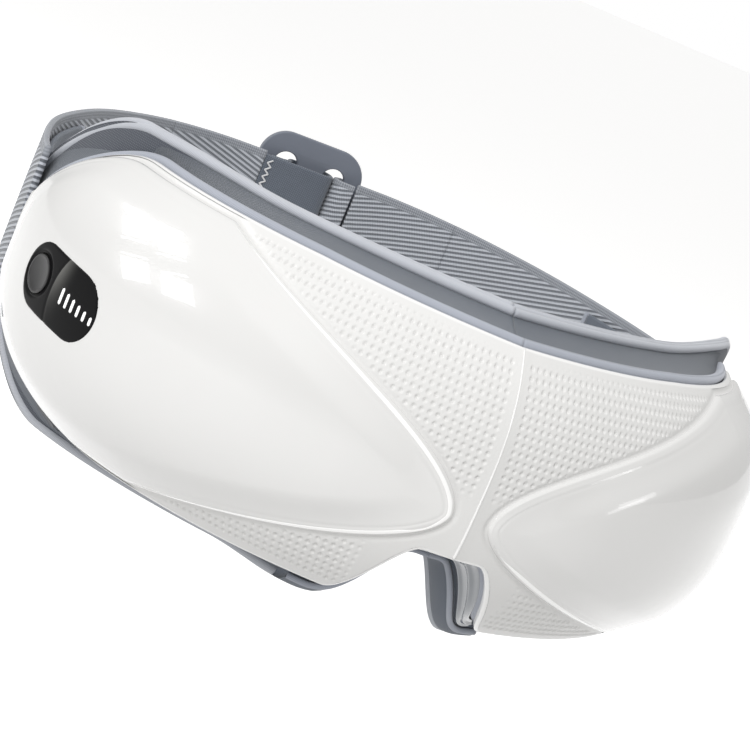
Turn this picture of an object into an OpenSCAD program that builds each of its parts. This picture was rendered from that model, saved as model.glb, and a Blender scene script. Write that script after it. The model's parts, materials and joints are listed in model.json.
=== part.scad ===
// Eye massager mask: two rigid pods joined by a soft bridge, an elastic strap and a slider buckle.
// X runs to the viewer's right, Y runs back towards the head, Z is up.
// The origin is the middle of the pad's face contact, on the centre line.

/* [Front shell] */
// Reach of the centre ridge in front of the face contact
front_reach = 30; // [26:1:34]
// Angle that each half leans back at the centre ridge
ridge_angle = 5; // [3:0.5:8]
// Plan radius of the front of each half
front_r = 121; // [115:1:125]
// Plan radius of the side of each half
side_r = 92; // [88:1:96]
// Direction where the front arc becomes the side arc
shoulder_angle = 45; // [42:1:48]
// Length of each half along the plan curve
half_length = 158; // [154:1:160]
// Share of the plan that the crown takes off at 40 mm from the middle
crown = 0.23; // [0.18:0.01:0.25]
// Height of the top rim above the middle
rim_top = 35; // [33:1:36]
// Depth of the bottom rim below the middle
rim_bottom = 34; // [32:1:35]
// Depth of the rim below the middle at the nose
nose_rim = 13.5; // [12:0.5:15]

/* [Lens panels] */
// Distance of the panel's nose corner from the centre line
lens_nose = 4.5; // [4.5:0.5:6]
// Height of the nose corner
lens_nose_z = -4; // [-5:0.5:-3]
// Steepness of the panel's upper edge
lens_upper = 3.4; // [3.2:0.1:3.6]
// Steepness of the panel's lower edge
lens_lower = 2.6; // [2.4:0.1:2.8]
// How far the panel stands out from the skin at its edge
lens_edge = 1.0; // [0.8:0.1:1.4]
// How much further it stands out in the middle
lens_bulge = 2.2; // [1:0.2:3]

/* [Controls] */
// Place of the control window along the left half
window_s = 113.5; // [111:0.5:116]
// Height of the control window
window_z = 1.2; // [-1:0.1:2]
// Length of the control window
window_length = 32; // [31:0.5:34]
// Width of the control window
window_width = 17; // [16:0.5:18]
// Tilt of the control window
window_tilt = 4; // [2:0.5:8]
// Distance of the button from the middle of the window
button_offset = 9; // [8:0.5:9.5]
// Diameter of the power button
button_d = 9.6; // [9:0.2:10]
// Travel of the power button
button_travel = 0.8; // [0.6:0.1:1]

/* [Pad] */
// Height of the lip above the middle
lip_top = 39; // [38:0.5:40]
// Depth of the lip below the middle
lip_bottom = 42; // [41:0.5:43]
// Depth of the lip below the middle at the nose
lip_nose = 21; // [20:0.5:23]
// Radius of the piping round the rim and the lip
piping_r = 1.3; // [1.1:0.1:1.4]
// Thickness of the padded side wall
wall = 2.4; // [2:0.1:2.8]

/* [Strap] */
// Width of the elastic strap
strap_w = 48; // [44:1:50]
// Thickness of the elastic strap
strap_t = 1.8; // [1.4:0.1:2]
// Place of the back of the strap
strap_back = 206; // [196:1:214]

/* [Buckle] */
// Width of the slider buckle along the strap
buckle_w = 36; // [34:1:38]
// Height of the slider buckle
buckle_h = 64; // [60:1:66]
// Thickness of the slider buckle
buckle_t = 2.4; // [2:0.1:2.6]

/* [Hidden] */

deg = 180 / PI;
probe = 0.02;
crown_power = 2.9;
crown_span = 40;
front_y = -front_reach;
centre_y = front_y + 87;
arc_front = front_r * (shoulder_angle - ridge_angle) / deg;
shoulder_x = front_r * (sin(shoulder_angle) - sin(ridge_angle));
shoulder_y = front_y + front_r * (cos(ridge_angle) - cos(shoulder_angle));

// Layers under the outer surface, counted inwards
skin_t = 1.2;
shell_out = 2.1;
shell_in = 3.6;
chassis_out = 15;
chassis_t = 1.4;
// The rigid parts stay this far from the centre line, so that the halves can close
bridge_half = 9;
pad_half = 12;

white = [0.95, 0.95, 0.95];
grey = [0.55, 0.58, 0.63];
dark_grey = [0.36, 0.39, 0.44];
black = [0.05, 0.05, 0.05];

// ---------- outlines along the half: s is the length from the ridge ----------
function unit(v) = v / norm(v);
function smooth(t) = let (c = min(1, max(0, t))) c * c * (3 - 2 * c);
function turn(a) = a < arc_front ? ridge_angle + a / front_r * deg
                                 : shoulder_angle + (a - arc_front) / side_r * deg;
function plan_x(a) = a < arc_front ? front_r * (sin(turn(a)) - sin(ridge_angle))
                                   : shoulder_x + side_r * (sin(turn(a)) - sin(shoulder_angle));
function plan_y(a) = a < arc_front ? front_y + front_r * (cos(ridge_angle) - cos(turn(a)))
                                   : shoulder_y + side_r * (cos(shoulder_angle) - cos(turn(a)));
function drop(s, start, power) = pow(max(0, s - start) / (half_length - start), power);
function rim_high(s) = rim_top - 1 + min(1, s / 60) - 23 * drop(s, 122, 2.6);
function nose(s, start, width) = smooth((s - start) / width);
function rim_low(s) = -nose_rim - (rim_bottom - nose_rim) * nose(s, 7, 18) + 26 * drop(s, 98, 2.3);
// Both edges of the lip close in towards the temple
function lip_close(s) = 24 * drop(s, 112, 1.6);
function lip_high(s) = lip_top + 1.5 * nose(s, 60, 40) - lip_close(s);
function lip_low(s) = -lip_nose - (lip_bottom - lip_nose) * nose(s, 3, 19) + 2.6 * nose(s, 26, 24)
                      + lip_close(s);
function lens_high(s) = min(rim_high(s) - 1,
                            lens_nose_z + lens_upper * pow(max(0, s - lens_nose), 0.55));
function lens_low(s) = max(rim_low(s) + 1,
                           lens_nose_z - lens_lower * pow(max(0, s - lens_nose), 0.55));

// ---------- surfaces ----------
function crown_at(z) = 1 - crown * pow(abs(z) / crown_span, crown_power);
function shell(s, z) = let (k = crown_at(z), a = abs(s))
    [sign(s) * k * plan_x(a), centre_y - k * (centre_y - plan_y(a)), z];
function outward(s, z) = unit(cross(shell(s + probe, z) - shell(s - probe, z),
                                    shell(s, z + probe) - shell(s, z - probe)));
function layer(s, z, depth) = shell(s, z) - depth * outward(s, z);
// The face side follows the lip, which stands behind the rim
function lip_x(a) = 0.887 * plan_x(a) + 8 * pow(a / half_length, 4);
function lip_y(a) = plan_y(a) + front_reach + 4 * sin(180 * a / half_length)
                    - 13 * pow(a / half_length, 3);
function face(s, z, depth = 0) = let (a = abs(s), f = turn(a))
    [sign(s) * (lip_x(a) + depth * sin(f)), lip_y(a) - depth * cos(f), z];
function hollow(s, z) = 8 * smooth((38 - abs(z)) / 26) * smooth((s - 8) / 30) * smooth((130 - s) / 50);
function inner_plan(s, depth) = let (f = turn(s))
    [plan_x(s) - depth * sin(f), plan_y(s) + depth * cos(f)];
function inner(s, z, depth) = let (k = crown_at(z), p = inner_plan(s, depth))
    [k * p[0], centre_y - k * (centre_y - p[1]), z];

// ---------- solids from grids ----------
function spread(low, high, count) = [for (i = [0:count]) low + (high - low) * i / count];
function spread_from(low, high, count) = [for (i = [0:count]) low + (high - low) * pow(i / count, 1.7)];
// A grid moved inwards by the thickness, square to itself
function grid_normal(grid, i, j) = let (rows = len(grid) - 1, cols = len(grid[0]) - 1)
    unit(cross(grid[min(rows, i + 1)][j] - grid[max(0, i - 1)][j],
               grid[i][min(cols, j + 1)] - grid[i][max(0, j - 1)]));
function sink(grid, depth) = [for (i = [0:len(grid) - 1])
    [for (j = [0:len(grid[0]) - 1]) grid[i][j] - depth * grid_normal(grid, i, j)]];
function flatten_grid(grid) = [for (row = grid) each row];

// A closed solid between an outer and an inner grid of points
module slab(outer, inner) {
    rows = len(outer);
    cols = len(outer[0]);
    count = rows * cols;
    face_tiles = [for (i = [0:rows - 2]) for (j = [0:cols - 2])
        let (a = i * cols + j, b = a + 1, c = a + cols + 1, d = a + cols)
        each [[a, b, c], [a, c, d]]];
    back_tiles = [for (t = face_tiles) [t[0] + count, t[2] + count, t[1] + count]];
    border = concat([for (j = [0:cols - 1]) j],
                    [for (i = [1:rows - 1]) i * cols + cols - 1],
                    [for (j = [cols - 2:-1:0]) (rows - 1) * cols + j],
                    [for (i = [rows - 2:-1:1]) i * cols]);
    steps = len(border);
    edge_tiles = [for (i = [0:steps - 1])
        let (a = border[i], b = border[(i + 1) % steps])
        each [[a, b + count, b], [a, a + count, b + count]]];
    polyhedron(concat(flatten_grid(outer), flatten_grid(inner)),
               concat(face_tiles, back_tiles, edge_tiles));
}

// A round bead along a path of points, 6-sided
module bead(path, r) {
    last = len(path) - 1;
    sides = 6;
    rings = [for (i = [0:last])
        let (t = unit(path[min(last, i + 1)] - path[max(0, i - 1)]),
             u = unit(cross(t, [0, -1, 0.35])), v = cross(t, u))
        each [for (j = [0:sides - 1]) path[i] + r * (cos(360 * j / sides) * u + sin(360 * j / sides) * v)]];
    walls = [for (i = [0:last - 1]) for (j = [0:sides - 1])
        let (a = i * sides + j, b = i * sides + (j + 1) % sides)
        each [[a, b + sides, b], [a, a + sides, b + sides]]];
    ends = [[for (j = [0:sides - 1]) j], [for (j = [sides - 1:-1:0]) last * sides + j]];
    polyhedron(rings, concat(walls, ends));
}

// Moves an outline in the s and z plane outwards by the gap
function grow(path, gap) = let (last = len(path) - 1) [for (i = [0:last])
    let (t = unit(path[min(last, i + 1)] - path[max(0, i - 1)])) path[i] + gap * [-t[1], t[0]]];

// Outline of a half, from the bridge over the top, round the temple and back along the bottom
function outline(start, high, low) = concat(
    [for (s = spread(start, 120, 12)) [s, high(s)]],
    [for (s = spread(126, half_length, 6)) [s, high(s)]],
    [for (t = [0.33, 0.67]) [half_length, high(half_length) * (1 - t) + low(half_length) * t]],
    [for (s = spread(half_length, 126, 6)) [s, low(s)]],
    [for (s = spread(120, 36, 8)) [s, low(s)]],
    [for (s = spread(30, start, 8)) [s, low(s)]]);
rim_line = outline(bridge_half + 1, function (s) rim_high(s), function (s) rim_low(s));
lip_line = outline(pad_half, function (s) lip_high(s), function (s) lip_low(s));

// Holds of the outlines against the surfaces
function rim_ring(gap, depth) = [for (p = grow(rim_line, gap)) layer(p[0], p[1], depth)];
function lip_ring(gap, depth) = [for (p = grow(lip_line, gap)) face(p[0], p[1], depth)];
function between(a, b, t) = [for (i = [0:len(a) - 1]) a[i] * (1 - t) + b[i] * t];
// A grid that runs from one row of points to another
function loft(from, to, rows = 2) = [for (i = [0:rows]) between(from, to, i / rows)];

// ---------- placing ----------
module for_side(side) {
    mirror([side == "left" ? 1 : 0, 0, 0]) children();
}
// A frame on the half: x along the half, y inwards, z up
module at_half(s, depth, z) {
    p = inner_plan(s, depth);
    translate([p[0], p[1], z]) rotate([0, 0, turn(s)]) children();
}
// A frame whose z axis points out of the shell, on the crowned surface
module at_shell(s, z, depth) {
    translate(inner(s, z, depth)) rotate([0, 0, turn(s)]) rotate([90, 0, 0]) children();
}
module at_window() {
    at_half(window_s, 0, window_z) rotate([0, -window_tilt, 0]) children();
}
// The button's axis is z here, pointing outwards
module at_button() {
    at_window() translate([button_offset, pow(button_offset, 2) / (2 * side_r), 0])
        rotate([0, 0, asin(button_offset / side_r)]) rotate([90, 0, 0]) children();
}
module stadium(length, width, depth) {
    rotate([90, 0, 0]) translate([0, 0, -depth / 2]) linear_extrude(depth) {
        square([length - width, width], center = true);
        for (x = [-1, 1] * (length - width) / 2) translate([x, 0]) circle(d = width, $fn = 48);
    }
}
module block(along, deep, high) {
    translate([-along / 2, 0, -high / 2]) cube([along, deep, high]);
}

// ---------- outer shell ----------
function bulge(s, z) = let (low = lens_low(s), high = lens_high(s), t = (z - low) / (high - low))
    lens_edge + lens_bulge * pow(max(0, 4 * t * (1 - t)), 0.7) * smooth((s - lens_nose) / 30)
                           * smooth((half_length + 6 - s) / 40);
function lens_grid(depth_at) = [for (s = spread_from(lens_nose + 0.3, half_length - 1, 26))
    let (low = lens_low(s), high = lens_high(s))
    [for (z = spread(low, high, 9)) layer(s, z, depth_at(s, z))]];
module lens_panel(side) {
    color(white) for_side(side) difference() {
        slab(lens_grid(function (s, z) -bulge(s, z)), lens_grid(function (s, z) -0.72));
        if (side == "left") at_window() stadium(window_length, window_width, 16);
    }
}

function sheet_grid(from, to, inset, depth, columns) = [for (s = spread(from, to, columns))
    [for (z = spread(rim_low(abs(s)) + inset, rim_high(abs(s)) - inset, 8)) layer(s, z, depth)]];
module skin(side) {
    color(white) for_side(side) difference() {
        slab(sheet_grid(bridge_half, half_length, 0, 0, 22),
             sheet_grid(bridge_half, half_length, 0, skin_t, 22));
        if (side == "left") at_window() stadium(window_length, window_width, 16);
    }
}
module bridge_skin() {
    color(white) slab(sheet_grid(-bridge_half + 0.1, bridge_half - 0.1, 0, 0, 6),
                      sheet_grid(-bridge_half + 0.1, bridge_half - 0.1, 0, skin_t, 6));
}

// The chassis comes closer to the shell at the temple and at the rims
function chassis_depth(s, z) = chassis_out - 7.8 * smooth((s - 105) / 38) - 5 * pow(abs(z) / 26, 2.5);
// Screw posts stand on the shell and hold the chassis: [s, z]
posts = [[20, 22], [96, 23], [98, -22.5], [122, 19]];
module pod_shell(side) {
    color("gainsboro") for_side(side) difference() {
        union() {
            slab(sheet_grid(bridge_half + 1, half_length - 2, 2, shell_out, 18),
                 sheet_grid(bridge_half + 1, half_length - 2, 2, shell_in, 18));
            for (p = posts) at_shell(p[0], p[1], chassis_depth(p[0], p[1]) - 1.5)
                cylinder(d = 5, h = chassis_depth(p[0], p[1]) - shell_in - 1.3, $fn = 32);
        }
        for (p = posts) at_shell(p[0], p[1], chassis_out) cylinder(d = 1.9, h = chassis_out - 4.4, $fn = 24);
        if (side == "left") at_button() cylinder(d = 4.4, h = 20, center = true, $fn = 32);
    }
}
module bridge_web() {
    color("gainsboro") slab(sheet_grid(-bridge_half - 0.8, bridge_half + 0.8, 3, shell_out, 6),
                            sheet_grid(-bridge_half - 0.8, bridge_half + 0.8, 3, shell_in - 0.6, 6));
}

// ---------- controls, on the left half ----------
function window_grid(below) = [for (s = spread(window_s - 25, window_s + 25, 20))
    [for (z = spread(window_z - 14, window_z + 14, 6)) layer(s, z, below - bulge(s, z))]];
bars = 6;
module for_bars(extra) {
    for (i = [0:bars - 1]) {
        s = window_s - 2.9 - 2.35 * i;
        high = 4.1 - 0.4 * i + extra;
        z = window_z + 2 - 0.42 * i - high / 2 + extra / 2;
        at_half(s, -bulge(s, z) - 0.25, z) block(0.9 + extra, 1.2 + extra, high);
    }
}
module control_window() {
    color(black) for_side("left") difference() {
        intersection() {
            slab(window_grid(-0.1), window_grid(1.5));
            at_window() stadium(window_length - 0.4, window_width - 0.4, 16);
        }
        at_button() cylinder(d = button_d + 0.4, h = 20, center = true, $fn = 64);
        for_bars(0.1);
    }
}
module display_diffuser() {
    color("white") for_side("left") for_bars(0);
}
button_high = 3.3;
module power_button() {
    color(black) for_side("left") at_button() difference() {
        union() {
            translate([0, 0, 1.2]) cylinder(d = button_d, h = button_high - 1.2, $fn = 64);
            translate([0, 0, 0.4]) cylinder(d = button_d + 1.8, h = 0.8, $fn = 64);
            translate([0, 0, -3]) cylinder(d = 3.6, h = 3.5, $fn = 32);
        }
        translate([0, 0, button_high + 13.5]) sphere(r = 14.2, $fn = 96);
    }
}
module button_spring() {
    color("silver") for_side("left") at_button() translate([0, 0, -1.4]) difference() {
        cylinder(d = 7, h = 0.9, $fn = 32);
        translate([0, 0, -1]) cylinder(d = 4.6, h = 3, $fn = 32);
    }
}
board_depth = 8;
module circuit_board() {
    color("seagreen") for_side("left") at_half(window_s - 5, board_depth, 0) {
        block(35, 1.2, 28);
        translate([-7, 1.2, 3]) block(8, 1.2, 8);
        translate([6, 1.2, -6]) block(6, 1, 5);
        translate([-12, 1.2, -8]) block(4, 1.6, 3);
    }
}
module button_switch() {
    color("dimgray") for_side("left") at_button() {
        translate([0, 0, -5.3]) cylinder(d = 3, h = 1.4, $fn = 24);
        translate([-3, -3, -6.5]) cube([6, 6, 1.3]);
    }
}
port_s = 112;
port_size = [9.6, 3.8, 7];
module at_port() {
    translate([lip_x(port_s), lip_y(port_s) - 9, -37.2]) rotate([0, 0, turn(port_s)]) children();
}
module charging_port() {
    color("silver") for_side("left") at_port() difference() {
        translate([0, 0, port_size[2] / 2 - 1.2]) cube(port_size, center = true);
        translate([0, 0, -2]) linear_extrude(6) {
            square([8.4 - 2.6, 2.6], center = true);
            for (x = [-2.9, 2.9]) translate([x, 0]) circle(d = 2.6, $fn = 32);
        }
    }
}

// ---------- inside the pods ----------
module battery() {
    color("royalblue") for_side("left") at_half(68, 6, 2) block(34, 6, 20);
}
function chassis_grid(under) = [for (s = spread(14, 136, 16))
    let (narrow = 6.5 + 10 * smooth((s - 112) / 24))
    [for (z = spread(rim_low(s) + narrow, rim_high(s) - narrow, 5)) inner(s, z, chassis_depth(s, z) + under)]];
module chassis(side) {
    color("dimgray") for_side(side) difference() {
        slab(chassis_grid(0), chassis_grid(chassis_t));
        for (p = posts) at_shell(p[0], p[1], chassis_depth(p[0], p[1]) + 4) cylinder(d = 2.6, h = 8, $fn = 24);
    }
}
module screws(side) {
    color("silver") for_side(side) for (p = posts) at_shell(p[0], p[1], chassis_depth(p[0], p[1]) + chassis_t + 1) {
        cylinder(d = 1.8, h = chassis_depth(p[0], p[1]) - 3.6, $fn = 24);
        translate([0, 0, -1.2]) cylinder(d = 4, h = 1.2, $fn = 32);
    }
}
module air_pump() {
    color("gray") for_side("right") at_half(101, 9.6, -2) rotate([0, 90, 0]) {
        translate([0, 0, -13]) cylinder(d = 9.4, h = 20, $fn = 48);
        translate([0, 0, 7.05]) cylinder(d = 8, h = 6, $fn = 48);
    }
}
module solenoid_valve() {
    color("goldenrod") for_side("right") at_half(76, 4.8, 4) block(12, 8.5, 12);
}
module speaker(side) {
    color("black") for_side(side) at_half(138.2, 4.2, -4) rotate([-90, 0, 0]) cylinder(d = 11, h = 2.2, $fn = 48);
}
motor_s = 32;
motor_depth = 9;
module vibration_motor(side) {
    color("silver") for_side(side) at_half(motor_s, motor_depth, -4) cylinder(d = 7, h = 12, $fn = 40);
}
// Half a disc on the motor's shaft, which turns above the motor
module vibration_weight(side) {
    color("darkgray") for_side(side) at_half(motor_s, motor_depth, 8.3) {
        cylinder(d = 1.6, h = 4.2, $fn = 24);
        difference() {
            translate([0, 0, 0.4]) cylinder(d = 6.4, h = 3.4, $fn = 40);
            translate([-5, 0.8, -1]) cube([10, 5, 6]);
        }
    }
}
tube_z = -10;
tube_depth = 12.9;
function tube_path(from, to, steps) = [for (s = spread(from, to, steps)) let (a = abs(s), p = inner_plan(a, tube_depth))
    [sign(s) * p[0], p[1], tube_z]];
module air_tube(side) {
    color("ivory") for_side(side) bead(tube_path(14.2, side == "left" ? 44 : 104, 14), 1.1);
}
module air_tube_bridge() {
    end = inner_plan(14, tube_depth);
    color("ivory") translate([0, end[1], tube_z]) rotate([0, 90, 0])
        cylinder(r = 1.1, h = 2 * end[0] - 0.4, center = true, $fn = 32);
}
module bridge_cable() {
    color("orange") translate([0, front_y + 9, -4]) cube([21, 0.5, 9], center = true);
}

// ---------- soft parts on the face side ----------
function eye_grid(depth_at, from, to, low, high) = [for (s = spread(from, to, 8))
    [for (z = spread(low, high, 6))
        inner(s, z, depth_at(4 * (s - from) * (to - s) / pow(to - from, 2),
                             4 * (z - low) * (high - z) / pow(high - low, 2)))]];
module airbag(side) {
    color("lightsteelblue") for_side(side)
        slab(eye_grid(function (a, b) 16.8, 19, 53, -11, 17),
             eye_grid(function (a, b) 17.3 + 2.8 * sqrt(a * b), 19, 53, -11, 17));
}
module heater_film(side) {
    color("peru") for_side(side) slab(eye_grid(function (a, b) 20.5, 19, 53, -11, 17),
                                      eye_grid(function (a, b) 20.8, 19, 53, -11, 17));
}
liner_t = 1.4;
liner_end = 136;
// The liner's end is rounded, because the side wall closes in at the corners of the temple
function liner_s(s, z) = s - 17 * pow(abs(s) / liner_end, 4) * pow(z / 36, 2);
function liner_grid(from, to, thick, columns) = [for (s = spread(from, to, columns))
    let (inset = 5 + 13 * smooth((abs(s) - 80) / 50))
    [for (z = spread(lip_low(abs(s)) + inset, lip_high(abs(s)) - inset, 7))
        let (t = liner_s(s, z)) face(t, z, hollow(abs(t), z) + thick)]];
module face_liner(side) {
    color(dark_grey) for_side(side)
        slab(liner_grid(pad_half, liner_end, liner_t, 16),
             liner_grid(pad_half, liner_end, 0, 16));
}
module bridge_liner() {
    color(dark_grey) slab(liner_grid(0.2 - pad_half, pad_half - 0.2, liner_t, 6),
                          liner_grid(0.2 - pad_half, pad_half - 0.2, 0, 6));
}
wall_depth = 3.8;
lip_gap = piping_r + 0.9;
lip_under = 1;
// The wall runs from beside the lip's piping to behind the rim's piping
function wall_from(lip, rim) = loft([for (i = [0:len(lip) - 1]) lip[i] + lip_gap * unit(rim[i] - lip[i])], rim);
function wall_grid() = wall_from(lip_ring(-lip_under, 0), rim_ring(wall - 0.2, wall_depth));
module side_wall(side) {
    color(dark_grey) for_side(side) difference() {
        slab(wall_grid(), sink(wall_grid(), wall));
        if (side == "left") at_port() translate([0, 0, -2]) cube([port_size[0] + 0.4, port_size[1] + 0.4, 16], center = true);
    }
}
function across(half, count) = spread(0.9 - half, half - 0.9, count);
// A short wall across the bridge, between the rim and the lip, above (1) or below (-1) the middle
function bridge_edge(way, gap, depth) = [for (s = across(bridge_half + (way > 0 ? 1 : -0.6), 8))
    layer(s, way > 0 ? rim_high(abs(s)) + gap : rim_low(abs(s)) - gap, depth)];
function bridge_lip(way, gap, depth) = [for (s = across(pad_half, 8))
    face(s, way > 0 ? lip_high(abs(s)) + gap : lip_low(abs(s)) - gap, depth)];
module bridge_wall(way) {
    outside = wall_from(bridge_lip(way, -lip_under, 0), bridge_edge(way, wall - 0.2, wall_depth));
    color(dark_grey)
        if (way > 0) slab(outside, sink(outside, wall));
        else slab(sink(outside, -wall), outside);
}
rim_gap = piping_r + 0.55;
module rim_piping(side) {
    color(grey) for_side(side) bead(rim_ring(rim_gap, piping_r + 0.2), piping_r);
}
module lip_piping(side) {
    color(grey) for_side(side) bead(lip_ring(0, 0), piping_r);
}
module bridge_piping(way) {
    color(grey) bead(bridge_edge(way, rim_gap, piping_r + 0.2), piping_r);
}
module bridge_lip_piping(way) {
    color(grey) bead(bridge_lip(way, 0, 0), piping_r);
}

// ---------- strap and buckle ----------
// The strap's line in plan, from the temple (0) to the buckle (90)
strap_flat = 22;
strap_front = 78;
strap_power = 2 / 1.9;
function strap_at(angle) = [strap_flat + 79 * pow(max(0, cos(angle)), strap_power),
                            strap_front + (strap_back - strap_front) * pow(sin(angle), strap_power)];
function strap_path(from, to, count) = [for (a = spread(from, to, count)) strap_at(a)];
function offset_path(path, gap) = let (last = len(path) - 1) [for (i = [0:last])
    let (t = unit(path[min(last, i + 1)] - path[max(0, i - 1)])) path[i] + gap * [t[1], -t[0]]];
module ribbon(path, thick, high) {
    outside = offset_path(path, thick / 2);
    inside = offset_path(path, -thick / 2);
    linear_extrude(high, center = true)
        polygon(concat(outside, [for (i = [len(inside) - 1:-1:0]) inside[i]]));
}
module strap(side) {
    color(grey) for_side(side) ribbon(concat([[101, 76.5]], strap_path(1, 90, 22), [[16.6, strap_back]]),
                                      strap_t, strap_w);
}
module strap_tab(side) {
    color(dark_grey) for_side(side) ribbon(offset_path(strap_path(7, 34, 8), -strap_t - 0.4), 1.6, strap_w - 8);
}
plate_y = strap_back + 4.4;
bar = 4;
slot = 9;
module buckle() {
    corner = 9;
    color(grey) translate([0, plate_y, 0]) rotate([90, 0, 0]) linear_extrude(buckle_t, center = true) difference() {
        union() {
            square([buckle_w - 2 * corner, buckle_h], center = true);
            square([buckle_w, buckle_h - 2 * corner], center = true);
            for (x = [-1, 1], z = [-1, 1])
                translate([x * (buckle_w / 2 - corner), z * (buckle_h / 2 - corner)]) circle(r = corner, $fn = 64);
        }
        for (x = [-1, 1]) translate([x * (bar + slot / 2), 0]) {
            square([slot, strap_w + 4 - slot], center = true);
            for (z = [-1, 1]) translate([0, z * (strap_w + 4 - slot) / 2]) circle(d = slot, $fn = 48);
        }
    }
}
// The sewn end of the left strap goes round the buckle's middle bar
module strap_loop() {
    reach = 16;
    inside = plate_y - strap_back - strap_t / 2;
    color(dark_grey) linear_extrude(strap_w - 2, center = true) {
        difference() {
            translate([-bar - 2.1, strap_back - strap_t / 2]) square([2 * bar + 4.2, 2 * inside + strap_t + strap_t]);
            translate([-bar - 0.5, strap_back + strap_t / 2]) square([2 * bar + 1, 2 * inside]);
        }
        translate([-reach, strap_back - strap_t / 2]) square([reach - bar, strap_t]);
    }
}
// The free end of the right strap goes round the buckle's outer bar and lies on the outside
module strap_tail() {
    outer = plate_y + buckle_t / 2 + strap_t / 2 + 0.3;
    path = concat([[15.6, strap_back], [10.6, strap_back + 1], [9.4, plate_y], [10.6, outer - 0.8], [14, outer], [20, outer]],
                  [for (a = [75:-5:60]) strap_at(a) + [2, 4]]);
    color(grey) ribbon([for (i = [len(path) - 1:-1:0]) path[i]], strap_t - 0.2, strap_w - 2);
}
module strap_stitching() {
    color("white") for (z = [-20:3.6:20], way = [-1, 1])
        translate([-15.2, strap_back - strap_t / 2 - 0.45, z + way * 0.9]) rotate([0, 25 * way, 0])
            cube([3.4, 0.6, 0.7], center = true);
}

lens_panel("left");  // lens_panel_left
lens_panel("right");  // lens_panel_right
skin("left");  // skin_left
skin("right");  // skin_right
bridge_skin();
pod_shell("left");  // pod_shell_left
pod_shell("right");  // pod_shell_right
control_window();
display_diffuser();
power_button();
button_spring();
circuit_board();
button_switch();
charging_port();
battery();
chassis("left");  // chassis_left
chassis("right");  // chassis_right
air_pump();
solenoid_valve();
speaker("left");  // speaker_left
speaker("right");  // speaker_right
vibration_motor("left");  // vibration_motor_left
vibration_motor("right");  // vibration_motor_right
vibration_weight("left");  // vibration_weight_left
vibration_weight("right");  // vibration_weight_right
air_tube("left");  // air_tube_left
air_tube("right");  // air_tube_right
air_tube_bridge();
bridge_web();
bridge_cable();
airbag("left");  // airbag_left
airbag("right");  // airbag_right
heater_film("left");  // heater_film_left
heater_film("right");  // heater_film_right
face_liner("left");  // face_liner_left
face_liner("right");  // face_liner_right
bridge_liner();
side_wall("left");  // side_wall_left
side_wall("right");  // side_wall_right
bridge_wall(1);  // bridge_wall_top
bridge_wall(-1);  // nose_flap
rim_piping("left");  // rim_piping_left
rim_piping("right");  // rim_piping_right
bridge_piping(1);  // bridge_piping_top
bridge_piping(-1);  // bridge_piping_nose
lip_piping("left");  // lip_piping_left
lip_piping("right");  // lip_piping_right
bridge_lip_piping(1);  // bridge_lip_top
bridge_lip_piping(-1);  // bridge_lip_nose
strap("left");  // strap_left
strap("right");  // strap_right
strap_tab("left");  // strap_tab_left
strap_tab("right");  // strap_tab_right
strap_loop();
strap_tail();
strap_stitching();
buckle();
screws("left");  // screws_left
screws("right");  // screws_right
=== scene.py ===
"""Eye massager mask: two halves joined by a soft bridge, an elastic strap and a slider buckle."""
import json
import math
from contextlib import contextmanager

import bmesh
import bpy
import numpy as np
from mathutils import Matrix, Vector
from mathutils.geometry import delaunay_2d_cdt

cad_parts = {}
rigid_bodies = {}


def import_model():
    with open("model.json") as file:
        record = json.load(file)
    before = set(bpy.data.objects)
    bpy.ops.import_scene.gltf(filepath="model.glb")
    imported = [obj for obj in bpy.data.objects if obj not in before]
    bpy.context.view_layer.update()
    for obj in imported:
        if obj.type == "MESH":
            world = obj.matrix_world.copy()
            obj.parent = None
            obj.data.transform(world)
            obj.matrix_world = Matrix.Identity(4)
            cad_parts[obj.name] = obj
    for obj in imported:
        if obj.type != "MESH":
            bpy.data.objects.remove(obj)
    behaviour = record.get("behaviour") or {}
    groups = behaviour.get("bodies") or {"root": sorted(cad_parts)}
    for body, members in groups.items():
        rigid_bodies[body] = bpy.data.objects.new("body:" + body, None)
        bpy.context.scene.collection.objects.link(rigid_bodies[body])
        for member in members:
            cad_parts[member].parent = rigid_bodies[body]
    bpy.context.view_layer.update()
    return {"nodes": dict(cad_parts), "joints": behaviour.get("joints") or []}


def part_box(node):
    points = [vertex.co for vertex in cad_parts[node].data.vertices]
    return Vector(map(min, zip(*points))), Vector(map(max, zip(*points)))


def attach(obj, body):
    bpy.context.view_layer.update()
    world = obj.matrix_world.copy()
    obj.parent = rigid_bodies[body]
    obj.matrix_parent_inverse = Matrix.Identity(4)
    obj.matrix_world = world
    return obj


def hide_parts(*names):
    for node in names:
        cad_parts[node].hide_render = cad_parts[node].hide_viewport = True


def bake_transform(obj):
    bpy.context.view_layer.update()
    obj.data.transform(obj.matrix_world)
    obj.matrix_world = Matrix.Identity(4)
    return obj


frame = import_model()
nodes = frame["nodes"]

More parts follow.
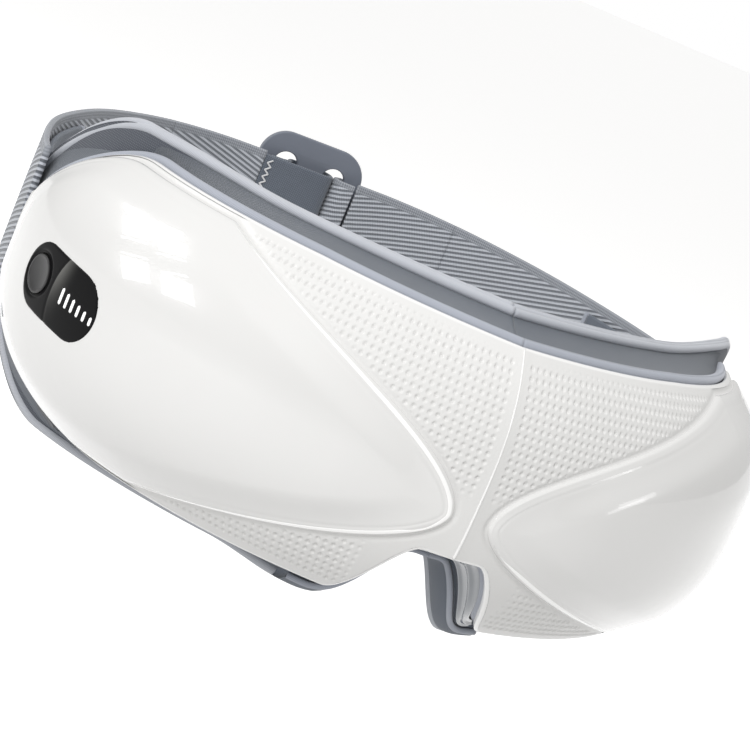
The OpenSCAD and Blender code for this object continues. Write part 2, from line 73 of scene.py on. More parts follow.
# ------------ The shape, as in the CAD source, in millimetres. s runs along a half from the ridge
FRONT_R, SIDE_R, RIDGE, SHOULDER = 121.0, 92.0, 5.0, 45.0
HALF, FRONT_Y = 158.0, -30.0
CENTRE_Y = FRONT_Y + 87
CROWN, CROWN_POWER, CROWN_SPAN = 0.23, 2.9, 40.0
RIM_TOP, RIM_BOTTOM, NOSE_RIM = 35.0, 34.0, 13.5
LIP_TOP, LIP_BOTTOM, LIP_NOSE = 39.0, 42.0, 21.0
LENS_NOSE, LENS_NOSE_Z, LENS_UPPER, LENS_LOWER = 4.5, -4.0, 3.4, 2.6
LENS_EDGE, LENS_BULGE = 1.0, 2.2
WINDOW_S, WINDOW_Z, WINDOW_L, WINDOW_W, TILT = 113.5, 1.2, 32.0, 17.0, 4.0
BUTTON_OFFSET, BUTTON_D = 9.0, 9.6
WINDOW_HALF = (WINDOW_L - WINDOW_W) / 2
BUTTON_HOLE = BUTTON_D / 2 + 0.15
ARC_CENTRE, ARC_R = -17.4, 19.2  # the line between the display and the button, along the window
PIPING_R = 1.3
STRAP_W, STRAP_T, STRAP_BACK = 48.0, 1.8, 206.0
SIDES = {"left": -1, "right": 1}


def rad(a):
    return np.radians(a)


def smooth(t):
    c = np.clip(t, 0, 1)
    return c * c * (3 - 2 * c)


def peak(x, width):
    """A smooth bump, 1 at zero and nearly 0 beyond twice the width."""
    return np.exp(-(x / width) ** 2)


FRONT_LENGTH = FRONT_R * rad(SHOULDER - RIDGE)
SHOULDER_X = FRONT_R * (np.sin(rad(SHOULDER)) - np.sin(rad(RIDGE)))
SHOULDER_Y = FRONT_Y + FRONT_R * (np.cos(rad(RIDGE)) - np.cos(rad(SHOULDER)))


def turn(a):
    """The direction of the plan's normal, in degrees, a mm from the ridge."""
    front, side = np.degrees(a / FRONT_R), np.degrees((a - FRONT_LENGTH) / SIDE_R)
    return np.where(a < FRONT_LENGTH, RIDGE + front, SHOULDER + side)


def plan(a):
    """The front arc and the side arc in plan."""
    f = rad(turn(a))
    front = a < FRONT_LENGTH
    x = np.where(front, FRONT_R * (np.sin(f) - np.sin(rad(RIDGE))),
                 SHOULDER_X + SIDE_R * (np.sin(f) - np.sin(rad(SHOULDER))))
    y = np.where(front, FRONT_Y + FRONT_R * (np.cos(rad(RIDGE)) - np.cos(f)),
                 SHOULDER_Y + SIDE_R * (np.cos(rad(SHOULDER)) - np.cos(f)))
    return x, y


def drop(s, start, power):
    return (np.maximum(0, s - start) / (HALF - start)) ** power


def rim_high(s):
    return RIM_TOP - 1 + np.minimum(1, s / 60) - 23 * drop(s, 122, 2.6)


def rim_low(s):
    return -NOSE_RIM - (RIM_BOTTOM - NOSE_RIM) * smooth((s - 7) / 18) + 26 * drop(s, 98, 2.3)


def lip_close(s):
    return 24 * drop(s, 112, 1.6)


def lip_high(s):
    return LIP_TOP + 1.5 * smooth((s - 60) / 40) - lip_close(s)


def lip_low(s):
    cheek = (LIP_BOTTOM - LIP_NOSE) * smooth((s - 3) / 19)
    return -LIP_NOSE - cheek + 2.6 * smooth((s - 26) / 24) + lip_close(s)


def lens_high(s):
    return np.minimum(rim_high(s) - 1, LENS_NOSE_Z + LENS_UPPER * np.maximum(0, s - LENS_NOSE) ** 0.55)


def lens_low(s):
    return np.maximum(rim_low(s) + 1, LENS_NOSE_Z - LENS_LOWER * np.maximum(0, s - LENS_NOSE) ** 0.55)


def full_turn(steps):
    return np.linspace(0, 2 * np.pi, steps, endpoint=False)


def stack(*parts):
    """Points from their coordinates."""
    return np.stack(np.broadcast_arrays(*parts), axis=-1)


def shell(s, z):
    """The outer surface of the right half, whose mirror image is the left half."""
    k = 1 - CROWN * (np.abs(z) / CROWN_SPAN) ** CROWN_POWER
    x, y = plan(s)
    return stack(k * x, CENTRE_Y - k * (CENTRE_Y - y), z)


def unit(v):
    return v / np.maximum(1e-9, np.linalg.norm(v, axis=-1, keepdims=True))


def outward(s, z, e=0.02):
    return unit(np.cross(shell(s + e, z) - shell(np.maximum(s - e, 0), z), shell(s, z + e) - shell(s, z - e)))


def layer(s, z, depth):
    """A surface depth mm inside the shell."""
    return shell(s, z) - np.asarray(depth)[..., None] * outward(s, z)


def lip_plan(a):
    x, y = plan(a)
    return (0.887 * x + 8 * (a / HALF) ** 4,
            y - FRONT_Y + 4 * np.sin(np.pi * a / HALF) - 13 * (a / HALF) ** 3)


def face(s, z, depth=0.0):
    """The face side of the pad, depth mm towards the shell."""
    f = rad(turn(s))
    x, y = lip_plan(s)
    return stack(x + depth * np.sin(f), y - depth * np.cos(f), z)


def bulge(s, z):
    """How far the lens panel stands out from the shell."""
    low, high = lens_low(s), lens_high(s)
    t = np.clip((z - low) / np.maximum(high - low, 1e-6), 0, 1)
    crown = LENS_BULGE * (4 * t * (1 - t)) ** 0.7
    return LENS_EDGE + crown * smooth((s - LENS_NOSE) / 30) * smooth((HALF + 6 - s) / 40)


def on_lens(s, z, lift=0.0):
    """The lens panel's outer face, or lift mm above it."""
    return layer(s, z, -(bulge(s, z) + lift))


def in_window(s, z):
    """Place along and across the control window."""
    ds, dz, tilt = s - WINDOW_S, z - WINDOW_Z, rad(TILT)
    return ds * np.cos(tilt) + dz * np.sin(tilt), dz * np.cos(tilt) - ds * np.sin(tilt)


def out_of_window(u, w):
    tilt = rad(TILT)
    return WINDOW_S + u * np.cos(tilt) - w * np.sin(tilt), WINDOW_Z + u * np.sin(tilt) + w * np.cos(tilt)


def from_line(u, w, half):
    """Distance from a straight line that reaches half mm each way along u."""
    return np.hypot(np.maximum(0, np.abs(u) - half), w)


# ------------ Meshes
def add_piece(name, data):
    piece = bpy.data.objects.new(name, data)
    bpy.context.scene.collection.objects.link(piece)
    return piece


def shade_smooth(data):
    data.polygons.foreach_set("use_smooth", [True] * len(data.polygons))


@contextmanager
def editing(data):
    """A bmesh of a mesh's data, written back at the end of the with block."""
    work = bmesh.new()
    work.from_mesh(data)
    yield work
    work.to_mesh(data)
    work.free()


def add_mesh(name, points, faces, material, uv):
    """points and uv are in millimetres, with one uv per point."""
    data = bpy.data.meshes.new(name)
    data.from_pydata((np.asarray(points, float).reshape(-1, 3) * 0.001).tolist(), [], faces)
    data.materials.append(material)
    loops = np.empty(len(data.loops), np.int32)
    data.loops.foreach_get("vertex_index", loops)
    values = np.asarray(uv, float).reshape(-1, 2)[loops].astype(np.float32)
    data.uv_layers.new(name="mm").data.foreach_set("uv", values.ravel())
    data.validate()
    shade_smooth(data)
    data.update()
    return add_piece(name, data)


def grid_uv(along, across):
    """uv of a grid of points, from the places of its rows and of its columns."""
    return stack(along[:, None], across[None])


def all_corners(mask):
    """True for each cell of a grid whose four corners are all true."""
    return mask[:-1, :-1] & mask[1:, :-1] & mask[:-1, 1:] & mask[1:, 1:]


def grid_faces(rows, cols, flip=False, wrap=False, keep=None):
    i, j = np.meshgrid(np.arange(rows - 1), np.arange(cols if wrap else cols - 1), indexing="ij")
    a = i * cols + j
    b = i * cols + (j + 1) % cols
    quads = stack(a, b, b + cols, a + cols)
    if flip:
        quads = quads[..., ::-1]
    if keep is not None:
        quads = quads[keep]
    return quads.reshape(-1, 4).tolist()


def end_faces(rows, cols):
    """The two end caps of a wrapped grid."""
    return [list(range(cols)), list(range(rows * cols - 1, (rows - 1) * cols - 1, -1))]


def mirrored(side, points):
    return np.asarray(points) * np.array([SIDES[side], 1, 1])


def grid_piece(name, side, points, material, uv, keep=None, inward=False):
    """A surface from a grid whose rows run along the half and whose columns run up."""
    rows, cols = points.shape[:2]
    flip = (SIDES[side] < 0) != inward
    faces = grid_faces(rows, cols, flip, keep=keep)
    return add_mesh(name, mirrored(side, points), faces, material, uv)


def slab_piece(name, side, outer, inner, material, uv, keep=None):
    """A closed solid between an outer and an inner grid of points."""
    rows, cols = outer.shape[:2]
    count = rows * cols
    flip = SIDES[side] < 0
    front = grid_faces(rows, cols, flip, keep=keep)
    back = [[i + count for i in reversed(f)] for f in front]
    edges = dict.fromkeys((f[i], f[(i + 1) % 4]) for f in front for i in range(4))
    rim = [[a, a + count, b + count, b][::-1] for a, b in edges if (b, a) not in edges]
    points = np.concatenate([outer.reshape(-1, 3), inner.reshape(-1, 3)])
    piece = add_mesh(name, mirrored(side, points), front + back + rim, material, np.stack([uv, uv]))
    if keep is not None:
        drop_loose(piece)
    return piece


def detail(full, quick):
    return full


def both(make):
    """The left and the right piece of a kind."""
    return {side: make(side) for side in SIDES}


def normals(points):
    """Normals of a grid of points, one per point."""
    return unit(np.cross(np.gradient(points, axis=0), np.gradient(points, axis=1)))


def drop_loose(piece):
    with editing(piece.data) as work:
        bmesh.ops.delete(work, geom=[v for v in work.verts if not v.link_faces], context="VERTS")


def lengths(path):
    d = np.linalg.norm(np.diff(path, axis=0), axis=1)
    return np.concatenate([[0], np.cumsum(d)])


def resample(path, count):
    at = lengths(path)
    t = np.linspace(0, at[-1], count)
    return np.stack([np.interp(t, at, path[:, k]) for k in range(path.shape[1])], -1)


def tube(name, path, radius, material, sides=14, up=(0, 0, 1), flatten=1.0):
    """A round cord along a path. flatten squeezes it along the up direction."""
    path = np.asarray(path, float)
    t = unit(np.gradient(path, axis=0))
    sideways = np.cross(t, np.asarray(up, float))
    u = unit(sideways)
    for i in np.flatnonzero(np.linalg.norm(sideways, axis=1) < 0.2):
        near = u[i - 1] if i else np.array([1.0, 0, 0])
        u[i] = unit(near - t[i] * (near @ t[i]))
    for i in range(1, len(u)):
        if u[i] @ u[i - 1] < 0:
            u[i] = -u[i]
    v = np.cross(t, u)
    turnings = full_turn(sides)
    r = np.broadcast_to(np.asarray(radius, float), (len(path),))[:, None, None]
    cos, sin = np.cos(turnings)[None, :, None], np.sin(turnings)[None, :, None]
    rings = path[:, None] + r * (cos * u[:, None] + flatten * sin * v[:, None])
    faces = grid_faces(len(path), sides, wrap=True)
    faces += end_faces(len(path), sides)
    piece = add_mesh(name, rings, faces, material, grid_uv(lengths(path), turnings * np.mean(radius)))
    with editing(piece.data) as work:
        bmesh.ops.recalc_face_normals(work, faces=work.faces)
    return piece


# ------------ Outlines that the layers are swept along: (s, z) with an outward direction
TOP, TEMPLE, CORNER = 170, 26, 8  # points along the top, down the temple and in the average at its corners


def soften(path, reach, **padding):
    """A path averaged over reach points each way."""
    kernel = np.hanning(reach * 2 + 1)
    kernel /= kernel.sum()
    return np.stack([np.convolve(np.pad(path[:, k], reach, **padding), kernel, "valid") for k in (0, 1)], -1)


def outline(high, low):
    """From the centre line over the top, round the temple and back along the bottom, with soft corners."""
    s = np.linspace(0, HALF, TOP)
    top = stack(s, high(s))
    t = np.linspace(0, 1, TEMPLE + 2)[1:-1]
    down = stack(HALF, high(HALF) + (low(HALF) - high(HALF)) * t)
    path = np.concatenate([top, down, stack(s, low(s))[::-1]])
    w = smooth((path[:, 0] - 132) / 14)[:, None]
    return path * (1 - w) + soften(path, CORNER, mode="edge") * w


def grow(path, gap):
    """A path moved sideways by gap mm."""
    t = unit(np.gradient(path, axis=0))
    return path + np.asarray(gap)[..., None] * stack(-t[:, 1], t[:, 0])


RIM = outline(rim_high, rim_low)
LIP = outline(lip_high, lip_low)


def rim_ring(gap, depth):
    """A line round the shell, gap mm outside the rim and depth mm inside the shell."""
    p = grow(RIM, gap)
    return layer(np.maximum(p[:, 0], 0), p[:, 1], depth)


def lip_ring(gap):
    """A line round the face side, gap mm outside the lip."""
    p = grow(LIP, gap)
    return face(np.maximum(p[:, 0], 0), p[:, 1])


# ------------ Materials: all procedural. Patterns read the UV map named mm or the object's own coordinates
class Nodes:
    """Builds one material. Values may be numbers or sockets."""

    def __init__(self, name):
        self.material = bpy.data.materials.new(name)
        self.material.use_nodes = True
        self.tree = self.material.node_tree
        self.shader = self.tree.nodes["Principled BSDF"]

    def link(self, value, socket):
        if isinstance(value, bpy.types.NodeSocket):
            self.tree.links.new(value, socket)
        elif value is not None:
            socket.default_value = value

    def math(self, op, a, b=None, c=None, clamp=False):
        n = self.tree.nodes.new("ShaderNodeMath")
        n.operation, n.use_clamp = op, clamp
        for v, socket in zip((a, b, c), n.inputs):
            self.link(v, socket)
        return n.outputs[0]

    def uv(self):
        n = self.tree.nodes.new("ShaderNodeUVMap")
        n.uv_map = "mm"
        split = self.tree.nodes.new("ShaderNodeSeparateXYZ")
        self.tree.links.new(n.outputs[0], split.inputs[0])
        return split.outputs[0], split.outputs[1]

    def add(self, a, b):
        return self.math("ADD", a, b)

    def times(self, a, b):
        return self.math("MULTIPLY", a, b)

    def fit(self, value, scale, shift, clamp=False):
        return self.math("MULTIPLY_ADD", value, scale, shift, clamp)

    def texture(self, kind, per_mm):
        place = self.tree.nodes.new("ShaderNodeTexCoord")
        n = self.tree.nodes.new(kind)
        n.inputs["Scale"].default_value = per_mm * 1000
        self.tree.links.new(place.outputs["Object"], n.inputs["Vector"])
        return n

    def noise(self, per_mm, detail=3.0, rough=0.55):
        n = self.texture("ShaderNodeTexNoise", per_mm)
        n.inputs["Detail"].default_value = detail
        n.inputs["Roughness"].default_value = rough
        return n.outputs[0]

    def cells(self, per_mm):
        return self.texture("ShaderNodeTexVoronoi", per_mm).outputs["Distance"]

    def ramp(self, value, low, high):
        n = self.tree.nodes.new("ShaderNodeMapRange")
        n.interpolation_type = "SMOOTHSTEP"
        for key, v in (("Value", value), ("From Min", low), ("From Max", high)):
            self.link(v, n.inputs[key])
        return n.outputs["Result"]

    def mix(self, factor, a, b):
        n = self.tree.nodes.new("ShaderNodeMix")
        n.data_type = "RGBA"
        self.link(factor, n.inputs["Factor"])
        for v, socket in ((a, n.inputs["A"]), (b, n.inputs["B"])):
            self.link((*v, 1) if isinstance(v, tuple) else v, socket)
        return n.outputs["Result"]

    def wave(self, value, pitch, phase=0.0):
        """A sine from 0 to 1, one cycle per pitch mm."""
        return self.fit(self.math("SINE", self.fit(value, 2 * math.pi / pitch, phase)), 0.5, 0.5)

    def blend(self, a, x, b, y):
        return self.add(self.times(a, x), self.times(b, y))

    def bump(self, height, mm):
        n = self.tree.nodes.new("ShaderNodeBump")
        n.inputs["Distance"].default_value = mm * 0.001
        n.inputs["Strength"].default_value = 1.0
        self.link(height, n.inputs["Height"])
        self.tree.links.new(n.outputs[0], self.shader.inputs["Normal"])

    def set(self, **values):
        names = {"color": "Base Color", "rough": "Roughness", "metal": "Metallic", "coat": "Coat Weight",
                 "coat_rough": "Coat Roughness", "sheen": "Sheen Weight", "sheen_rough": "Sheen Roughness",
                 "specular": "Specular IOR Level", "glow": "Emission Strength"}
        for key, v in values.items():
            self.link((*v, 1) if isinstance(v, tuple) else v, self.shader.inputs[names[key]])
        if "glow" in values:
            self.shader.inputs["Emission Color"].default_value = (1.0, 1.0, 1.0, 1.0)


def gloss(name, color, rough=0.22, coat=1.0, tint=0.97, glow=0.0):
    """Moulded gloss plastic: a clear top layer over a slightly uneven base."""
    m = Nodes(name)
    m.set(color=m.mix(m.noise(0.03, 2), tuple(c * tint for c in color), color), coat=coat, coat_rough=0.035,
          rough=m.fit(m.noise(0.4, 3), 0.08, rough - 0.04), glow=glow)
    m.bump(m.noise(0.06, 2), 0.012)
    return m.material


def matte(name, color, rough=0.5, grain=0.03, per_mm=3.0, metal=0.0, tint=0.9, glow=0.0):
    """Moulded, painted or metal surfaces: a fine grain, uneven gloss and darker low spots."""
    m = Nodes(name)
    fine = m.noise(per_mm, 4)
    m.set(color=m.mix(m.noise(0.12, 4), tuple(c * tint for c in color), color), metal=metal,
          rough=m.fit(fine, 0.16, rough - 0.08), glow=glow)
    m.bump(fine, grain)
    return m.material


def fabric(m, height, hairs, relief, tone, dark, light, rough, hair_height):
    """The finish that all the fabrics share: tone goes from dark to light, and hairs lie over the threads."""
    m.set(color=m.mix(tone, dark, light), rough=rough, sheen=0.35, sheen_rough=0.5, specular=0.25)
    m.bump(m.blend(height, 1.0, hairs, hair_height), relief)
    return m.material


def woven(name, dark, light, pitch, kind, relief, fuzz=0.5):
    """Fabric whose threads follow the UV map: a mesh, a plain weave, a knit or a ribbed cord cover."""
    m = Nodes(name)
    u, v = m.uv()
    if kind == "mesh":
        height = m.blend(m.wave(m.add(u, v), pitch), 0.7, m.wave(m.math("SUBTRACT", u, v), pitch * 1.5), 0.3)
    elif kind == "plain":
        height = m.math("ABSOLUTE", m.math("SUBTRACT", m.wave(u, pitch), m.wave(v, pitch, math.pi / 2)))
    elif kind == "knit":
        bend = m.times(m.wave(v, pitch * 2), 0.35 * pitch)
        height = m.times(m.wave(m.add(u, bend), pitch), m.wave(v, pitch * 0.8))
    else:
        height = m.wave(m.fit(v, 0.6, u), pitch)
    hairs = m.noise(4.0, 5, 0.7)
    shade = m.fit(height, 0.75, m.times(hairs, fuzz * 0.5))
    tone = m.fit(m.noise(0.05, 3), 0.3, m.times(shade, 0.85), clamp=True)
    return fabric(m, height, hairs, relief, tone, dark, light, 0.85, 0.35)


def twill(name, dark, light):
    """Elastic webbing: slanted ribs made of short threads, with a plain band along each edge."""
    slant, pitch, thread_pitch, plain_from = 0.42, 1.55, 0.62, STRAP_W / 2 - 2.6
    m = Nodes(name)
    u, v = m.uv()
    rib = m.ramp(m.wave(m.add(m.times(u, slant * 0.72), v), pitch), 0.12, 0.8)
    thread = m.wave(m.math("SUBTRACT", u, m.times(v, slant)), thread_pitch)
    plain = m.blend(m.wave(u, 0.7), 0.3, m.wave(v, 0.9), 0.2)
    edge = m.ramp(m.math("ABSOLUTE", v), plain_from - 0.4, plain_from + 0.2)
    height = m.blend(m.blend(rib, 0.8, thread, 0.2), m.math("SUBTRACT", 1.0, edge), m.add(plain, 0.08), edge)
    hairs = m.noise(3.0, 5, 0.7)
    tone = m.fit(hairs, 0.25, m.times(height, 0.85), clamp=True)
    return fabric(m, height, hairs, 0.4, tone, dark, light, 0.82, 0.2)


def skin_finish():
    """Satin plastic with a leather-like grain."""
    m = Nodes("skin_satin_white")
    grain = m.cells(1.6)
    m.set(color=m.mix(m.noise(0.05, 3), (0.755, 0.752, 0.742), (0.80, 0.797, 0.788)),
          rough=m.fit(grain, 0.15, 0.36), coat=0.25, coat_rough=0.2)
    m.bump(m.blend(grain, 0.7, m.noise(2.5, 4), 0.5), 0.03)
    return m.material


def window_finish():
    """Black, with a painted reflection on the display part: grey beside the arc, fading to black along the
    window.
    """
    m = Nodes("window_gloss_black")
    along, across = m.uv()
    # painted reflection: a grey patch beside the arc that fades to black along the window
    near_arc = m.ramp(along, -6.0, 2.6)
    painted_reflection = m.blend(m.times(near_arc, m.ramp(across, -10.0, 7.0)), 0.85, near_arc, 0.15)
    squares = m.add(m.math("POWER", m.math("SUBTRACT", along, ARC_CENTRE), 2.0), m.math("POWER", across, 2.0))
    inside = m.ramp(m.math("SQRT", squares), ARC_R + 0.05, ARC_R - 0.15)
    m.set(color=m.mix(m.times(m.times(painted_reflection, painted_reflection), inside), (0.0025, 0.0025, 0.003), (0.19, 0.19, 0.18)),
          coat=0.0, rough=m.fit(m.noise(2.0, 3), 0.08, 0.3), specular=0.1)
    m.bump(m.noise(0.2, 2), 0.01)
    return m.material


def diffuser_finish():
    m = Nodes("diffuser_white")
    m.set(color=(0.92, 0.92, 0.92), rough=m.fit(m.noise(1.0, 2), 0.1, 0.3), glow=0.45)
    return m.material


lens_white = gloss("lens_gloss_white", (0.80, 0.797, 0.788))
skin_white = skin_finish()
rim_white = gloss("rim_gloss_white", (0.92, 0.918, 0.91), rough=0.2)
# painted highlight: the bevel's strip is a lighter white and glows a little, to show the bright line along
# the lens panels' edge
edge_highlight_white = gloss("edge_gloss_white", (0.97, 0.968, 0.96), rough=0.15, glow=0.10)
nose_gloss = gloss("nose_gloss_grey", (0.19, 0.208, 0.232), rough=0.14, tint=0.9)
button_black = gloss("button_black", (0.012, 0.012, 0.013), rough=0.4, coat=0.12, tint=0.7)
window_black = window_finish()
diffuser = diffuser_finish()
buckle_grey = matte("buckle_moulded_grey", (0.20, 0.22, 0.265), 0.42, 0.02, 2.5)
mesh_fabric = woven("mesh_fabric_dark", (0.045, 0.053, 0.068), (0.21, 0.235, 0.275), 0.62, "mesh", 0.10)
flap_fabric = woven("flap_fabric", (0.065, 0.078, 0.105), (0.20, 0.23, 0.28), 0.5, "plain", 0.06)
piping_cover = woven("piping_cover", (0.30, 0.32, 0.37), (0.50, 0.53, 0.60), 0.5, "rib", 0.03, fuzz=0.35)
lip_cover = woven("lip_cover", (0.40, 0.42, 0.46), (0.62, 0.64, 0.69), 0.45, "rib", 0.03, fuzz=0.35)
liner_knit = woven("liner_knit", (0.055, 0.062, 0.078), (0.15, 0.165, 0.195), 0.7, "knit", 0.10)
tab_weave = woven("tab_weave", (0.07, 0.082, 0.105), (0.22, 0.25, 0.30), 0.8, "plain", 0.12)
thread_white = woven("thread_white", (0.62, 0.62, 0.64), (0.90, 0.90, 0.91), 0.25, "rib", 0.03)
strap_twill = twill("strap_twill", (0.085, 0.095, 0.115), (0.66, 0.69, 0.75))

# The parts that the CAD already shapes: colour, roughness and metal of each
INNER = {
    "pod_shell": ((0.62, 0.63, 0.65), 0.45, 0.0), "chassis": ((0.07, 0.075, 0.085), 0.5, 0.0),
    "battery": ((0.08, 0.16, 0.42), 0.35, 0.0), "circuit_board": ((0.02, 0.16, 0.07), 0.4, 0.0),
    "button_switch": ((0.10, 0.10, 0.11), 0.5, 0.0), "button_spring": ((0.62, 0.63, 0.65), 0.25, 1.0),
    "charging_port": ((0.05, 0.052, 0.06), 0.4, 0.3), "air_pump": ((0.30, 0.31, 0.33), 0.35, 1.0),
    "solenoid_valve": ((0.60, 0.45, 0.20), 0.3, 1.0), "speaker": ((0.03, 0.03, 0.035), 0.6, 0.0),
    "vibration_motor": ((0.60, 0.61, 0.63), 0.25, 1.0), "vibration_weight": ((0.40, 0.41, 0.43), 0.35, 1.0),
    "air_tube": ((0.75, 0.74, 0.68), 0.25, 0.0), "bridge_cable": ((0.65, 0.28, 0.05), 0.4, 0.0),
    "bridge_web": ((0.62, 0.63, 0.65), 0.45, 0.0), "airbag": ((0.45, 0.50, 0.58), 0.3, 0.0),
    "heater_film": ((0.48, 0.26, 0.10), 0.35, 0.0), "screws": ((0.50, 0.51, 0.53), 0.25, 1.0),
}
inner_finish = {key: matte(f"{key}_finish", c, r, 0.02, 2.5, metal) for key, (c, r, metal) in INNER.items()}


# ------------ Front: dimpled skin, lens panels and the ridge
def lens_outline():
    """The lens panel's outline, from its nose corner over the top to the temple and back along the bottom."""
    s = LENS_NOSE + (HALF - 1 - LENS_NOSE) * np.linspace(0, 1, 700) ** 2
    top = stack(s, lens_high(s))
    bottom = stack(s, lens_low(s))[::-1]
    return np.concatenate([top, bottom[:-1]])


LENS_LINE = lens_outline()


def distance(points, line):
    """Distance in the s, z plane to a line of points, in slices to save memory."""
    flat = points.reshape(-1, 2)
    a, b = line[:-1], line[1:]
    d = b - a
    size = np.maximum(1e-9, (d * d).sum(1))
    out = np.empty(len(flat))
    for i in range(0, len(flat), 4000):
        p = flat[i:i + 4000, None]
        t = np.clip(((p - a) * d).sum(-1) / size, 0, 1)
        out[i:i + 4000] = np.sqrt((((p - a) - t[..., None] * d) ** 2).sum(-1).min(1))
    return out.reshape(points.shape[:-1])


def to_lens_edge(s, z):
    return distance(stack(s, z), LENS_LINE[::4])


DIMPLE, DIMPLE_R, DIMPLE_DEEP = 1.95, 0.64, 0.55  # pitch, radius and depth


def dimples(s, z):
    """Heights of the embossed dimples, which stand in straight rows and columns."""
    ds = s - (np.round(s / DIMPLE - 0.5) + 0.5) * DIMPLE
    dz = z - np.round(z / DIMPLE) * DIMPLE
    r = np.hypot(ds, dz) / DIMPLE_R
    return 0.05 * peak(r - 1.2, 0.25) - DIMPLE_DEEP * np.clip(1 - r * r, 0, 1) ** 1.3


def skin_heights(s, z, inside):
    """inside is the distance inside the lens panel's edge, negative on the open skin."""
    rim = np.minimum(rim_high(s) - z, z - rim_low(s))
    shown = smooth((-inside - 0.9) / 0.7) * smooth((rim - 1.2) / 0.8) * smooth((s - 1.2) / 0.8)
    plain = smooth((24 - s) / 6) * smooth((5.0 - z) / 5) * smooth((z + 30) / 4)
    ridge, groove = 0.16 * peak(s, 2.2), 0.45 * peak(inside + 0.35, 0.7)
    return dimples(s, z) * shown * (1 - plain) + ridge - groove


def skin_grid():
    """Steps divide the dimples' pitch, so that every dimple has the same shape. Rows stop at the rims."""
    step_s, step_z = detail((DIMPLE / 9, DIMPLE / 8), (DIMPLE / 5, DIMPLE / 5))
    s = np.append(np.arange(0, HALF, step_s), HALF)[:, None]
    k = np.arange(-RIM_BOTTOM - step_z * 2, RIM_TOP + step_z * 2, step_z)[None]
    k = np.round(k / step_z) * step_z
    z = np.clip(k, rim_low(s), rim_high(s))
    real = (k > rim_low(s) - step_z) & (k < rim_high(s) + step_z)
    s = np.broadcast_to(s, z.shape)
    on_panel = (s > LENS_NOSE) & (s < HALF - 1) & (z > lens_low(s)) & (z < lens_high(s))
    inside = np.where(on_panel, 1, -1) * to_lens_edge(s, z)
    hidden = inside > 3.2
    return s, z, inside, all_corners(real) & ~all_corners(hidden)


SKIN = skin_grid()


def skin(side):
    """The dimpled satin skin of one half, open under the lens panel."""
    s, z, inside, keep = SKIN
    points = layer(s, z, -skin_heights(s, z, inside))
    piece = grid_piece(f"skin_{side}_shown", side, points, skin_white, stack(s, z), keep=keep)
    with editing(piece.data) as work:
        bmesh.ops.dissolve_degenerate(work, dist=1e-6, edges=work.edges)
    drop_loose(piece)
    shade_smooth(piece.data)
    return piece


def lens_step(d):
    """Height of the panel's edge, d mm inside its outline: a bevel, a shoulder and a fine groove."""
    return 0.72 * smooth(d / 0.8) + 0.30 * smooth((d - 0.7) / 1.6) - 0.12 * peak(d - 2.45, 0.35)


def lens_crown(s, z, d):
    return (bulge(s, z) - LENS_EDGE) * smooth((d - 1.2) / 9.0)


def lens(side):
    """A panel with a small bevelled step round its edge and a crowned middle. The left one has a hole under
    the control window, and sinks a little round it."""
    cols, rows = detail((300, 84), (160, 50))
    t = np.linspace(0, 1, cols)
    s = (LENS_NOSE + (HALF - 1 - LENS_NOSE) * (0.25 * t ** 3 + 0.75 * t ** 1.6))[:, None]
    v = np.linspace(0, 1, rows)
    v = (0.55 * v + 0.45 * (0.5 - 0.5 * np.cos(np.pi * v)))[None]
    z = lens_low(s) + (lens_high(s) - lens_low(s)) * v
    s = np.broadcast_to(s, z.shape)
    d = to_lens_edge(s, z)
    skirt = 0.6 * (1 - smooth(d / 0.22))
    sunk, keep = 0.0, None
    if side == "left":
        inside = WINDOW_W / 2 - from_line(*in_window(s, z), WINDOW_HALF)
        sunk = smooth((inside - 0.95) / 0.5)
        keep = ~all_corners(inside > 1.0)
    points = layer(s, z, skirt - lens_step(d) - lens_crown(s, z, d) + sunk)
    piece = grid_piece(f"lens_panel_{side}_shown", side, points, lens_white, stack(s, z), keep=keep)
    drop_loose(piece)
    return piece


def lens_edge(side):
    """The bevel along the panel's edge, from under the shoulder round the nose corner to the bottom
    rim, in a lighter white that glows a little: a painted highlight line. On the right it runs along the
    bottom only."""
    line = resample(LENS_LINE, 900)[:-1]
    along = unit(np.roll(line, -3, axis=0) - np.roll(line, 3, axis=0))
    inward = stack(along[:, 1], -along[:, 0])
    free = np.minimum(rim_high(line[:, 0]) - line[:, 1], line[:, 1] - rim_low(line[:, 0]))
    shown = (free > 1.6) & (line[:, 0] < HALF - 20)
    if side == "right":
        shown &= line[:, 1] < -8
    rows = np.flatnonzero(shown)
    breaks = np.flatnonzero(np.diff(rows) > 1)
    start = breaks[0] + 1 if len(breaks) else 0
    rows = np.roll(rows, -start)
    line, inward, free = line[rows], inward[rows], free[rows]
    to_end = np.minimum(np.arange(len(line)), np.arange(len(line))[::-1])
    wide = 0.35 + 0.75 * smooth((70 - line[:, 0]) / 50)
    wide = (wide * smooth((free - 1.6) / 6) * smooth(to_end / 40))[:, None]
    t = np.linspace(0, 1, 9)[None]
    d = 0.75 + wide * t
    flat = line[:, None] + inward[:, None] * d[..., None]
    s, z = flat[..., 0], flat[..., 1]
    rounded = 0.10 * np.sqrt(np.clip(4 * t * (1 - t), 0, 1)) - 0.25 * (np.abs(2 * t - 1) > 0.99)
    high = lens_step(d) + 0.03 + rounded + lens_crown(s, z, d)
    return grid_piece(f"lens_edge_{side}", side, layer(s, z, -high), edge_highlight_white, flat, inward=True)


def ridge():
    """The fine raised line down the middle of the bridge."""
    z = np.linspace(rim_low(0.0) - 0.2, rim_high(0.0) + 0.3, 120)
    middle = shell(np.zeros_like(z), z) * [0, 1, 1] + [0, -0.12, 0]
    return tube("ridge_line", middle, 0.22 + 0.14 * smooth((20 - z) / 40), rim_white, sides=12, up=(0, 1, 0))


